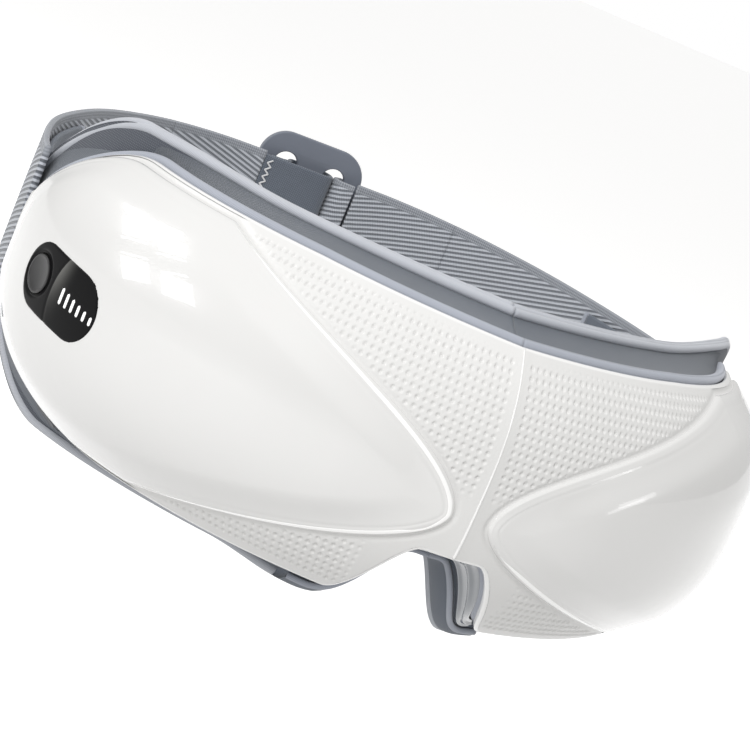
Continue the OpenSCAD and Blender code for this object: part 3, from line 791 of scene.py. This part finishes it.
def rim_roll(side):
    """The skin's edge rolls over the rim: a strip through (gap, depth) points, swept round the half."""
    turns = np.linspace(0, np.pi / 2, 8)
    profile = [(0.9 * math.sin(a), 0.9 * (1 - math.cos(a))) for a in turns] + [(0.9, 1.8), (0.7, 2.6)]
    points = np.stack([rim_ring(gap, depth) for gap, depth in profile], 1)
    uv = grid_uv(lengths(RIM), lengths(np.array(profile)))
    return grid_piece(f"rim_roll_{side}", side, points, rim_white, uv)


skins, lenses, edges, rolls = both(skin), both(lens), both(lens_edge), both(rim_roll)
ridge_line = ridge()


# ------------ Controls on the left half
def window_points(r):
    """Points along and across the window: dense at its edge and round the button, a lattice between."""
    gap = 0.42
    turns = full_turn(96)
    ring = stack(np.cos(turns), np.sin(turns))
    points = []
    for inset in (0.0, 0.12, 0.3, 0.6):
        points += [c + [WINDOW_HALF if c[0] >= 0 else -WINDOW_HALF, 0] for c in ring * (r - inset)]
        for u in np.arange(-WINDOW_HALF, WINDOW_HALF + 0.01, 0.6):
            points += [(u, r - inset), (u, inset - r)]
    for wider in (0.0, 0.25, 0.5, 0.75, 1.05):
        points += list(ring * (BUTTON_HOLE + wider) + [BUTTON_OFFSET, 0])
    end = WINDOW_HALF + r
    u, w = np.meshgrid(np.arange(-end, end, gap), np.arange(-r, r, gap), indexing="ij")
    w = w + gap / 2 * (np.arange(len(u)) % 2)[:, None]
    free = (r - from_line(u, w, WINDOW_HALF) > 0.75) & (np.hypot(u - BUTTON_OFFSET, w) > BUTTON_HOLE + 1.3)
    return points + list(stack(u[free], w[free]))


def control_window():
    """A black pane with a rounded edge, a groove round the button and a fine arc beside the display."""
    r = WINDOW_W / 2 - 0.1
    found, _, faces, *_ = delaunay_2d_cdt([Vector(p) for p in window_points(r)], [], [], 0, 1e-4)
    uw = np.array([[p.x, p.y] for p in found])
    middle = np.array([uw[list(f)].mean(0) for f in faces])
    keep = np.hypot(middle[:, 0] - BUTTON_OFFSET, middle[:, 1]) > BUTTON_HOLE
    faces = [f[::-1] for f, k in zip(faces, keep) if k]
    u, w = uw.T
    d = r - from_line(u, w, WINDOW_HALF)
    from_hole = np.hypot(u - BUTTON_OFFSET, w) - BUTTON_HOLE
    rounded = 0.5 * (1 - smooth(d / 0.5))
    groove = 0.42 * peak(from_hole - 0.5, 0.22) * smooth((d - 0.7) / 0.6)
    hole_edge = 0.5 * (from_hole < 0.05)
    arc_line = 0.10 * peak(np.hypot(u - ARC_CENTRE, w) - ARC_R, 0.3)
    points = mirrored("left", on_lens(*out_of_window(u, w), 0.16 - rounded - groove - (hole_edge + arc_line)))
    piece = add_mesh("control_window_shown", points, faces, window_black, uw)
    drop_loose(piece)
    return piece


def lathe(name, profile, origin, axis, material, steps=96):
    """profile is a list of (radius, height) from the outside of the base to the middle of the top, in mm."""
    axis = unit(np.asarray(axis, float))
    side = unit(np.cross(axis, [0, 0, 1.0]))
    up = np.cross(axis, side)
    turns = full_turn(steps)[None]
    r, h = np.asarray(profile, float).T[:, :, None]
    x, y, h = np.broadcast_arrays(r * np.cos(turns), r * np.sin(turns), h)
    points = np.asarray(origin) + x[..., None] * side + y[..., None] * up + h[..., None] * axis
    piece = add_mesh(name, points, grid_faces(len(profile), steps, wrap=True), material, stack(x, y))
    with editing(piece.data) as work:
        bmesh.ops.remove_doubles(work, verts=work.verts, dist=1e-6)
        bmesh.ops.recalc_face_normals(work, faces=work.faces)
    return piece


press = next(j for j in frame["joints"] if j["name"] == "power_button_press")
PUSH = -np.array(press["axis"], float)
BUTTON_PLACE = mirrored("left", on_lens(*out_of_window(BUTTON_OFFSET, 0.0)))


def power_button():
    """A drum with a rounded edge and a dished top."""
    r = BUTTON_D / 2
    turns = np.linspace(0, np.pi / 2, 14)
    dish = [(r * 0.86 * math.cos(a), 0.16 - 0.62 * math.sin(a) ** 1.5) for a in turns]
    edge = [(r - 0.25 + 0.25 * math.cos(a), -0.1 + 0.3 * math.sin(a)) for a in np.linspace(0, np.pi / 2, 6)]
    profile = [(0, -3), (r, -3), (r, -1), *edge, (r * 0.9, 0.2), *dish]
    return lathe("power_button_shown", profile, BUTTON_PLACE, PUSH, button_black)


def button_well():
    """The blind hole that the button moves in."""
    top, floor = -0.35, -4.3
    profile = [(BUTTON_HOLE + 0.6, top), (BUTTON_HOLE, top), (BUTTON_HOLE, floor), (0, floor)]
    return lathe("button_well", profile, BUTTON_PLACE, PUSH, window_black)


def display_bar(i):
    """An upright bar with round ends. The bars stand in a row and get shorter."""
    high = 4.1 - 0.4 * i
    s, middle = WINDOW_S - 2.9 - 2.28 * i, WINDOW_Z + 2 - 0.42 * i - high / 2
    z = np.linspace(middle - high / 2, middle + high / 2, 14)
    ends = np.minimum(z - z[0], z[-1] - z)
    radius = 0.40 * np.sqrt(np.clip(1 - (1 - np.clip(ends / 0.46, 0, 1)) ** 2, 0.02, 1))
    path = mirrored("left", on_lens(np.full_like(z, s), z, 0.12))
    return tube(f"display_bar_{i + 1}", path, radius, diffuser, sides=10, up=(0, 1, 0))


button = power_button()
window = control_window()
well = button_well()
bars = [display_bar(i) for i in range(6)]


# ------------ Soft parts: side wall, nose flap, piping, lip, face pad
LOW_PART = np.arange(len(RIM)) >= TOP + TEMPLE
BEHIND_RIM = 2.1, 3.0  # gap and depth of the line where the wall meets the rim's piping
ACROSS = np.linspace(0, 1, 30)  # columns of the wall


def wall_points(t, out=0.0):
    """Across the wall: t is 0 beside the lip and 1 behind the rim's piping."""
    t = t[None, :, None]
    points = lip_ring(-0.6)[:, None] * (1 - t) + rim_ring(*BEHIND_RIM)[:, None] * t
    free = smooth((150 - RIM[:, 0]) / 30)[:, None]
    puff = 1.1 * (4 * t * (1 - t))[..., 0] ** 0.8 * free
    return points + (puff + out)[..., None] * normals(points)


PORT_HALF, PORT_R = 3.0, 1.35


def port_place():
    """Middle, direction along, direction across and outward normal of the charging port's mouth, in the
    wall's bottom face above the CAD port, on the right half's mirror image."""
    outer = wall_points(ACROSS)
    low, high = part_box("charging_port")
    target = np.array([-(low[0] + high[0]), low[1] + high[1], low[2] + high[2]]) * 500
    i, j = np.unravel_index(np.linalg.norm(outer - target, axis=-1).argmin(), outer.shape[:2])
    out = normals(outer)[i, j]
    along = unit(outer[i + 1, j] - outer[i - 1, j])
    return outer[i, j], along, np.cross(out, along), out


PORT = port_place()


def wall(side):
    """The fabric wall, left open over the nose and, on the left half, round the charging port."""
    outer = wall_points(ACROSS)
    keep = np.repeat(~(LOW_PART & (RIM[:, 0] < 27))[:-1, None], len(ACROSS) - 1, axis=1)
    if side == "left":
        mouth, along, across, _ = PORT
        middle = (outer[1:, 1:] + outer[:-1, :-1]) / 2 - mouth
        reach = from_line(middle @ along, middle @ across, PORT_HALF)
        keep &= (reach > PORT_R + 0.45) | (np.linalg.norm(middle, axis=-1) > 9)
    uv = grid_uv(lengths(RIM), ACROSS * lengths(outer[80])[-1])
    inner = wall_points(ACROSS, -1.0)
    return slab_piece(f"side_wall_{side}_shown", side, outer, inner, mesh_fabric, uv, keep)


def port_socket():
    """A soft frame round the mouth of the charging port and the socket inside it, then the tongue."""
    mouth, along, across, out = PORT
    finish = inner_finish["charging_port"]
    a = full_turn(72)[:, None]
    half = np.where(np.cos(a) >= 0, PORT_HALF, -PORT_HALF)
    rows = []
    for wider, height in ((1.2, -0.9), (1.25, 0.05), (1.0, 0.3), (0.4, 0.36), (0.05, 0.2), (-0.1, -0.2),
                          (-0.1, -1.9), (-PORT_R, -1.9)):
        r = PORT_R + wider
        rows.append(mouth + (r * np.cos(a) + half) * along + r * np.sin(a) * across + height * out)
    points = mirrored("left", np.stack(rows))
    faces = grid_faces(len(rows), len(a), wrap=True)
    socket = add_mesh("charging_port_shown", points, faces, finish, np.zeros((*points.shape[:2], 2)))
    u = np.linspace(-PORT_HALF + 0.3, PORT_HALF - 0.3, 12)[:, None]
    path, up = mirrored("left", mouth + u * along - 1.2 * out), mirrored("left", out)
    return socket, tube("charging_port_tongue", path, 0.45, finish, sides=10, up=up, flatten=0.5)


def nose_parts(side):
    """The glossy inner wall of the notch, its two ridges, and the fabric flap behind it."""
    rows = np.flatnonzero(LOW_PART & (RIM[:, 0] < 30))
    along = lengths(RIM)[rows]
    t = np.linspace(1.0, 0.50, 40)
    ridges = 0.55 * peak(t - 0.86, 0.035) + 0.55 * peak(t - 0.66, 0.035)
    high = ridges[None] * smooth((29 - RIM[:, 0]) / 5)[:, None] - 0.6
    points = wall_points(t, high)[rows]
    uv = grid_uv(along, t * 25)
    gloss_part = grid_piece(f"nose_wall_{side}", side, points, nose_gloss, uv, inward=True)
    t = np.linspace(0.56, 0.0, 26)
    edge = smooth((0.56 - t) / 0.03) + 0.8 * (4 * t * (0.56 - t) / 0.32)
    outer, inner = wall_points(t, edge)[rows], wall_points(t, -0.8)[rows]
    flap = slab_piece(f"nose_flap_{side}", side, inner, outer, flap_fabric, grid_uv(along, t * 25))
    line = mirrored(side, wall_points(np.array([0.55, 0.54]), 0.75)[rows, 0])
    return gloss_part, flap, tube(f"nose_flap_edge_{side}", line, 0.75, piping_cover, up=(0, 1, 0))


def rim_cord(side):
    """Stands beside the rim over the top and at the temple, and lies behind it along the bottom."""
    tuck = smooth((np.arange(len(RIM)) - TOP - TEMPLE / 2) / 34)
    path = mirrored(side, rim_ring(PIPING_R + 0.55 - 1.6 * tuck, PIPING_R + 0.2 + 2.3 * tuck))
    return tube(f"rim_piping_{side}_shown", path, PIPING_R, piping_cover, sides=18, up=(0, 1, 0.35))


def lip_band(side):
    """The second, flatter ridge of the lip's binding, on the wall's side of the cord."""
    lip = lip_ring(0.0)
    to_rim = rim_ring(*BEHIND_RIM) - lip
    path = lip + unit(to_rim) * 2.2
    path = mirrored(side, path - 0.55 * unit(np.cross(np.gradient(path, axis=0), to_rim)))
    return tube(f"lip_band_{side}", path, 1.15, lip_cover, up=(0, 1, 0.35))


def lip_cord(side):
    path = mirrored(side, lip_ring(0.0))
    return tube(f"lip_piping_{side}_shown", path, PIPING_R, lip_cover, sides=18, up=(0, 1, 0.35))


PAD_RING = 14.0  # width of the foam ring along the lip
EYE_S, EYE_Z, EYE_LONG, EYE_HIGH = 36.0, 4.0, 21.0, 17.0  # middle and half sizes of the eye pad


def hollow(s, z):
    """How deep the pad sinks over the eye."""
    return 8 * smooth((38 - np.abs(z)) / 26) * smooth((s - 8) / 30) * smooth((130 - s) / 50)


def face_pad(side):
    """A foam ring along the lip, a sewn channel, and an oval pad over the eye."""
    cols, rows = detail((240, 120), (120, 70))
    end = int(np.argmax(LIP[:, 0]))
    s = np.linspace(0, LIP[end, 0] - 0.05, cols)
    top = np.interp(s, LIP[:end + 1, 0], LIP[:end + 1, 1])
    base = np.interp(s, LIP[end:, 0][::-1], LIP[end:, 1][::-1])
    z = base[:, None] + (top - base)[:, None] * np.linspace(0, 1, rows)[None]
    s = np.broadcast_to(s[:, None], z.shape)
    d = distance(stack(s, z), LIP[::2])
    ring = 2.8 * np.sin(np.pi * np.clip(d, 0, PAD_RING) / PAD_RING) ** 0.75
    seam = 0.9 * peak(d - PAD_RING - 0.2, 0.8)
    r = np.hypot((s - EYE_S) / EYE_LONG, (z - EYE_Z) / EYE_HIGH)
    inside = smooth((d - PAD_RING) / 2)
    pad = (2.0 * np.sqrt(np.clip(1 - r * r, 0, 1)) - 0.8 * peak(r - 1.02, 0.035)) * inside
    quilt = 0.5 * smooth((r - 1.05) / 0.3) * inside
    nose = 1.5 * peak(s, 1.2) * smooth((d - 1) / 3)
    depth = hollow(s, z) * smooth((d - 4) / 14)
    outer, inner = face(s, z, depth - (ring - seam + pad + quilt - nose)), face(s, z, depth + 1.6)
    return slab_piece(f"face_liner_{side}_shown", side, inner, outer, liner_knit, stack(s, z))


walls = both(wall)
socket, tongue = port_socket()
nose_pieces = both(nose_parts)
rim_cords = both(rim_cord)
lip_cords = both(lip_cord)
lip_bands = both(lip_band)
pads = both(face_pad)


# ------------ Strap and buckle
def strap_at(angle):
    """The strap's line in plan, from the temple at 0 degrees to the buckle at 90."""
    power = 2 / 1.9
    c, s = np.clip(np.cos(rad(angle)), 0, 1), np.clip(np.sin(rad(angle)), 0, 1)
    return stack(22 + 79 * c ** power, 78 + (STRAP_BACK - 78) * s ** power)


def ribbon(name, path, thick, high, material, side="right", step=0.7, wave=0.0, start=0.0):
    """Webbing along a path in plan, with rounded edges. wave is a slow unevenness, and start is the place
    along the weave where the path begins."""
    path = resample(np.asarray(path, float), max(6, int(lengths(path)[-1] / step)))
    t = unit(np.gradient(path, axis=0))
    n = stack(t[:, 1], -t[:, 0])
    half, r = high / 2, thick / 2
    across = np.linspace(-half + r, half - r, 26)
    turns = np.linspace(0, np.pi, 7)[1:-1]
    z = np.concatenate([across, half - r + r * np.sin(turns), across[::-1], r - half - r * np.sin(turns)])
    g = np.concatenate([np.full(26, r), r * np.cos(turns), np.full(26, -r), -r * np.cos(turns)])
    at = lengths(path)
    belly = np.sin(at / 17.0)[:, None] * np.cos(z / 19.0)[None]
    lean = 0.5 * np.sin(at / 7.3 + 1)[:, None] * (z / half)[None]
    xy = path[:, None] + n[:, None] * (g[None] + wave * (belly + lean))[..., None]
    points = np.concatenate([xy, np.broadcast_to(z[None, :, None], (*xy.shape[:2], 1))], -1)
    faces = grid_faces(len(path), len(z), flip=SIDES[side] > 0, wrap=True)
    faces += [e if SIDES[side] > 0 else e[::-1] for e in end_faces(len(path), len(z))]
    return add_mesh(name, mirrored(side, points), faces, material, grid_uv(start + at, z))


CUT = 68.0  # where the strap's front part meets its back part
FRONT_PATH = np.concatenate([[[101, 76.5]], strap_at(np.linspace(1, CUT, 60))])
BACK_PATH = np.concatenate([strap_at(np.linspace(CUT, 90, 24)), [[16.6, STRAP_BACK]]])
TAB_HIGH = STRAP_W - 8


def strap(side):
    webbing = dict(thick=STRAP_T, high=STRAP_W, material=strap_twill, side=side)
    front = ribbon(f"strap_{side}_front", FRONT_PATH, wave=0.25, **webbing)
    return front, ribbon(f"strap_{side}_back", BACK_PATH, start=lengths(FRONT_PATH)[-1], **webbing)


def tab(side):
    """The dark tab sewn on the strap's inner face at the temple, and the cord along its end."""
    path = grow(strap_at(np.linspace(7, 34, 30)), STRAP_T + 0.4)
    piece = ribbon(f"strap_tab_{side}_shown", path, 1.6, TAB_HIGH, tab_weave, side)
    end = grow(strap_at(np.linspace(32, 36, 9)), STRAP_T + 0.6)[5]
    z = np.linspace(-TAB_HIGH / 2, TAB_HIGH / 2, 50)
    edge = mirrored(side, stack(end[0], end[1], z))
    return piece, tube(f"strap_tab_edge_{side}", edge, 0.9, piping_cover, up=(0, 1, 0))


PLATE_Y, BAR, SLOT = STRAP_BACK + 4.4, 4.0, 9.0


def arc(cx, cz, r, start, stop, steps=16):
    a = rad(np.linspace(start, stop, steps))
    return stack(cx + r * np.cos(a), cz + r * np.sin(a))


def buckle_plate():
    """A moulded plate with two slots, drawn as outlines in X and Z and given thickness and rounded edges."""
    w, h, corner, soft = 18.0, 32.0, 9.0, 0.5
    quarters = ((0, 1, 1), (90, -1, 1), (180, -1, -1), (270, 1, -1))
    w, h = w - corner, h - corner
    outer = np.concatenate([arc(x * w, z * h, corner, a, a + 90) for a, x, z in quarters])
    outer = outer - soft * unit(outer - outer.mean(0))
    reach = (STRAP_W + 4 - SLOT) / 2
    slots = [np.concatenate([arc(x, reach, SLOT / 2, 0, 180), arc(x, -reach, SLOT / 2, 180, 360)])
             for x in (-BAR - SLOT / 2, BAR + SLOT / 2)]
    curve = bpy.data.curves.new("buckle_line", "CURVE")
    curve.dimensions, curve.fill_mode = "2D", "BOTH"
    curve.extrude, curve.bevel_depth, curve.bevel_resolution = (1.2 - soft) * 0.001, soft * 0.001, 4
    for line in (outer, *slots):
        spline = curve.splines.new("POLY")
        spline.points.add(len(line) - 1)
        spline.use_cyclic_u = True
        for p, (x, z) in zip(spline.points, line * 0.001):
            p.co = (x, z, 0, 1)
    shape = add_piece("buckle_line", curve)
    bpy.context.view_layer.update()
    data = bpy.data.meshes.new_from_object(shape.evaluated_get(bpy.context.evaluated_depsgraph_get()))
    bpy.data.objects.remove(shape)
    data.name = "buckle_shown"
    data.transform(Matrix.Translation((0, PLATE_Y * 0.001, 0)) @ Matrix.Rotation(math.pi / 2, 4, "X"))
    data.materials.clear()
    data.materials.append(buckle_grey)
    with editing(data) as work:
        bmesh.ops.remove_doubles(work, verts=work.verts, dist=1e-6)
    shade_smooth(data)
    data.set_sharp_from_angle(angle=rad(40))
    return add_piece("buckle_shown", data)


def strap_loop():
    """The left strap's end: from its seam round the middle bar and back to the seam."""
    near, far = STRAP_BACK, PLATE_Y * 2 - STRAP_BACK
    r = (far - near) / 2
    there = [[-16.4, near], [-12.0, near], [-4.6, near], [0, near]]
    back = [[0, far], [-BAR - 1.6, far - 0.4], [-BAR - 2.6, far - 1.8], [-BAR - 3.2, PLATE_Y],
            [-BAR - 4.4, near + 3.0], [-10.5, near + 1.95], [-14.5, near + 1.85]]
    path = np.concatenate([there, arc(BAR + 0.9 - r * 0.35, PLATE_Y, r, -90, 90, 18), back])
    return ribbon("strap_loop_shown", path, 1.5, STRAP_W - 2, tab_weave, step=0.35)


def strap_tail():
    """The right strap's end: out round the buckle's outer bar, then back along the strap's outside."""
    outer = PLATE_Y + 1.2 + STRAP_T / 2 + 0.3
    bend = [[15.6, STRAP_BACK], [11.4, STRAP_BACK + 0.6], [9.8, STRAP_BACK + 2.4], [9.4, PLATE_Y],
            [9.9, outer - 1.4], [11.4, outer - 0.2], [14, outer], [20, outer]]
    path = resample(np.concatenate([bend, strap_at(np.arange(75, 59, -2.5)) + [2, 4]]), 400)
    path = soften(path, 7, mode="reflect", reflect_type="odd")
    return ribbon("strap_tail_shown", path, STRAP_T - 0.2, STRAP_W - 2, strap_twill, step=0.5)


def stitches():
    """Zigzag thread along the loop's seam, on the inside."""
    z = np.arange(-21.6, 21.7, 1.2)
    x = np.where(np.arange(len(z)) % 2, -15.3, -13.7)
    path = resample(stack(x, STRAP_BACK - STRAP_T / 2 - 0.15, z), 420)
    return tube("strap_stitching_shown", path, 0.28, thread_white, sides=8, up=(0, 1, 0), flatten=0.7)


straps = both(strap)
tabs = both(tab)
buckle, loop, tail, thread = buckle_plate(), strap_loop(), strap_tail(), stitches()


# ------------ Which body each piece rides on, and what it stands for
def bend(piece, side, reach, slot, *stands_for):
    """Bakes the piece's place into its mesh and hides the CAD nodes that it stands for. reach is not used."""
    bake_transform(piece)
    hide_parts(*stands_for)


def ride(piece, body, slot, *stands_for):
    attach(piece, body)
    if stands_for:
        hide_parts(*stands_for)


# The left pieces also stand for the CAD nodes of the bridge
BRIDGE_NODES = {
    "skin": ["bridge_skin"], "wall": ["bridge_wall_top"], "flap": ["nose_flap"], "liner": ["bridge_liner"],
    "rim": ["bridge_piping_top", "bridge_piping_nose"], "lip": ["bridge_lip_top", "bridge_lip_nose"],
}
for side, way in SIDES.items():
    pod = f"{side}_pod"
    also = BRIDGE_NODES if side == "left" else dict.fromkeys(BRIDGE_NODES, [])
    inner_wall, flap, trim = nose_pieces[side]
    bend(skins[side], side, 6, "skin_white", f"skin_{side}", *also["skin"])
    bend(rolls[side], side, 6, "skin_white")
    bend(walls[side], side, 17, "mesh_fabric", f"side_wall_{side}", *also["wall"])
    bend(inner_wall, side, 17, "skin_white")
    bend(flap, side, 17, "mesh_fabric", *also["flap"])
    bend(trim, side, 17, "piping_fabric")
    bend(rim_cords[side], side, 11, "piping_fabric", f"rim_piping_{side}", *also["rim"])
    bend(lip_cords[side], side, 17, "lip_fabric", f"lip_piping_{side}", *also["lip"])
    bend(lip_bands[side], side, 17, "lip_fabric")
    bend(pads[side], side, 17, "liner_fabric", f"face_liner_{side}", *also["liner"])
    ride(lenses[side], pod, "lens_white", f"lens_panel_{side}")
    ride(edges[side], pod, "lens_white")
    front, back = straps[side]
    for piece in (front, *tabs[side]):
        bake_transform(piece)
    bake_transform(back)
    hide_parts(f"strap_{side}")
    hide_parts(f"strap_tab_{side}")
    slots = "strap_elastic", "strap_elastic", "tab_fabric", "piping_fabric"
    for piece, slot in zip((front, back, *tabs[side]), slots):
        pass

ride(ridge_line, "bridge", "skin_white")
ride(window, "left_pod", "window_black", "control_window")
ride(well, "left_pod", "window_black")
ride(bars[0], "left_pod", "diffuser_white", "display_diffuser")
for bar in bars[1:]:
    ride(bar, "left_pod", "diffuser_white")
ride(socket, "left_pod", "port_steel", "charging_port")
ride(tongue, "left_pod", "port_steel")
ride(button, "power_button", "button_black", "power_button")
ride(buckle, "buckle", "buckle_grey", "buckle")
ride(loop, "buckle", "tab_fabric", "strap_loop")
ride(tail, "buckle", "strap_elastic", "strap_tail")
ride(thread, "buckle", "thread_white", "strap_stitching")

# The parts that cross the bridge under the skin are cut at the centre line into a left and a right copy
for node in ("bridge_web", "bridge_cable", "air_tube_bridge"):
    for side in SIDES:
        half = add_piece(f"{node}_{side}", nodes[node].data.copy())
        with editing(half.data) as work:
            everything = work.verts[:] + work.edges[:] + work.faces[:]
            bmesh.ops.bisect_plane(work, geom=everything, plane_co=(0, 0, 0), plane_no=(-SIDES[side], 0, 0),
                                   clear_outer=True)
        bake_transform(half)
        if side == "left":
            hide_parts(node)

# A copy of the spring takes the CAD spring's place
spring = add_piece("button_spring_pressed", nodes["button_spring"].data.copy())
spring.matrix_world = nodes["button_spring"].matrix_world.copy()
bpy.context.view_layer.update()
coil = np.array([spring.matrix_world @ v.co for v in spring.data.vertices])
height = coil @ PUSH
foot = coil[height.argmin()]
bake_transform(spring)
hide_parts("button_spring")

for piece in bpy.context.scene.objects:
    key = next((k for k in sorted(INNER, key=len, reverse=True) if piece.name.startswith(k)), None)
    if piece.type == "MESH" and key:
        piece.data.materials.clear()
        piece.data.materials.append(inner_finish[key])

# ------------ Camera, floor and light
def pose_matrix(x, y, z, place):
    """A world matrix from three axes and a place."""
    return Matrix([[x[i], y[i], z[i], place[i]] for i in range(3)] + [[0, 0, 0, 1]])


AZ, EL, ROLL = rad(-19.26), rad(12.55), rad(23.34)
EYE = np.array([-0.1719, -0.4232, 0.1132])
right = np.array([np.cos(AZ), np.sin(AZ), 0])
ahead = np.array([-np.sin(AZ) * np.cos(EL), np.cos(AZ) * np.cos(EL), -np.sin(EL)])
up = np.cross(right, ahead)
cam_x = np.cos(ROLL) * right + np.sin(ROLL) * up
cam_y = -np.sin(ROLL) * right + np.cos(ROLL) * up
camera_data = bpy.data.cameras.new("camera")
camera_data.lens, camera_data.sensor_width, camera_data.clip_start = 96.0, 36.0, 0.01
camera = add_piece("camera", camera_data)
camera.matrix_world = pose_matrix(cam_x, cam_y, -ahead, EYE)
bpy.context.scene.camera = camera

bpy.ops.mesh.primitive_grid_add(x_subdivisions=8, y_subdivisions=8, size=60, location=(0, 0, -0.2))
floor = bpy.context.object
floor.name = "floor"
floor.data.materials.append(matte("floor_paper", (0.93, 0.93, 0.93), 0.7, 0.02, 0.5, tint=0.985, glow=0.40))
floor.visible_diffuse = False

# The camera sees a white studio, and the object is lit by a slightly warm, dimmer one
world = bpy.data.worlds.new("studio")
bpy.context.scene.world = world
world.use_nodes = True
tree = world.node_tree
sky = tree.nodes["Background"]
sky.inputs["Color"].default_value = (1.0, 0.995, 0.985, 1)
sky.inputs["Strength"].default_value = 0.60
seen = tree.nodes.new("ShaderNodeBackground")
seen.inputs["Color"].default_value = (1, 1, 1, 1)
rays = tree.nodes.new("ShaderNodeLightPath")
pick = tree.nodes.new("ShaderNodeMixShader")
for i, out in enumerate((rays.outputs["Is Camera Ray"], sky.outputs[0], seen.outputs[0])):
    tree.links.new(out, pick.inputs[i])
tree.links.new(pick.outputs[0], tree.nodes["World Output"].inputs["Surface"])
bpy.context.scene.view_settings.view_transform = "Standard"


def area(name, place, target, size, power, tall=None):
    """A rectangular lamp that faces its target. Sizes are in metres."""
    data = bpy.data.lights.new(name, "AREA")
    data.shape = "RECTANGLE"
    data.size, data.size_y, data.energy = size, tall or size, power
    lamp = add_piece(name, data)
    way = Vector(target) - Vector(place)
    lamp.matrix_world = Matrix.Translation(place) @ way.to_track_quat("-Z", "Y").to_matrix().to_4x4()
    return lamp


for lamp in (area("key_soft", (-0.85, -0.94, 1.14), (0, 0, 0), 0.9, 15.0),
             area("top_soft", (0.1, 0.3, 1.4), (0, 0.05, 0), 1.2, 3.0),
             area("back_soft", (0.9, 1.2, 0.6), (0, 0.1, 0), 0.9, 3.0),
             area("fill_soft", (-1.25, -0.7, 0.0), (-0.05, 0, 0), 0.7, 2.0)):
    lamp.visible_glossy = False


def bounce(side, s, z, distance=1.1, e=0.5):
    """The camera's ray meets a lens panel at s, z: where it is distance metres on, and where it meets it."""
    def at(a, b):
        return mirrored(side, on_lens(a, b, 0.02)) * 0.001

    normal = unit(np.cross(at(s + e, z) - at(s - e, z), at(s, z + e) - at(s, z - e))) * SIDES[side]
    point = at(s, z)
    ray = unit(point - EYE)
    return point + distance * (ray - 2 * (ray @ normal) * normal), point


def glint(name, side, s, z, across, rise, radiance):
    """A window pane that the camera sees mirrored in a lens panel: its light stands where the mirrored view
    ray goes, and is as large as the patch that it lights."""
    middle, point = bounce(side, s, z)
    spans = []
    for ds, dz in (across, rise):
        ends = [bounce(side, s + way * ds / 2, z + way * dz / 2)[0] for way in (1, -1)]
        spans.append(Vector(ends[0] - ends[1]))
    facing = Vector(point - middle).normalized()
    x, y = (span - span.dot(facing) * facing for span in spans)
    tall = y.length
    y.normalize()
    wide = (x - x.dot(y) * y).length
    lamp = area(name, middle, point, wide, radiance * math.pi * wide * tall, tall)
    lamp.matrix_world = pose_matrix(y.cross(-facing), y, -facing, middle)
    lamp.visible_diffuse = False


# A window with two columns of panes shows in the left panel, and two slanted panes in the right one
PANE_ROWS = ((0.0, 0.85), (1.0, 0.95), (2.08, 0.08), (2.85, 0.08), (3.05, 1.05))  # start and height
PANE_ACROSS, PANE_DOWN = np.array([-9.2, 0.9]), np.array([-3.7, -3.4])
for column, corner in enumerate(((112.1, 26.8), (100.4, 27.7))):
    for row, (down, tall) in enumerate(PANE_ROWS):
        s, z = np.array(corner) + PANE_ACROSS / 2 + PANE_DOWN * (down + tall / 2)
        glint(f"pane_{column}_{row}", "left", s, z, PANE_ACROSS * 0.92, -PANE_DOWN * tall, 5.0)
for i in range(2):
    glint(f"pane_right_{i}", "right", 36.5 - 2.6 * i, 13.2 - 2.6 * i, (9.0, 4.2), (1.2, -2.0), 2.0)
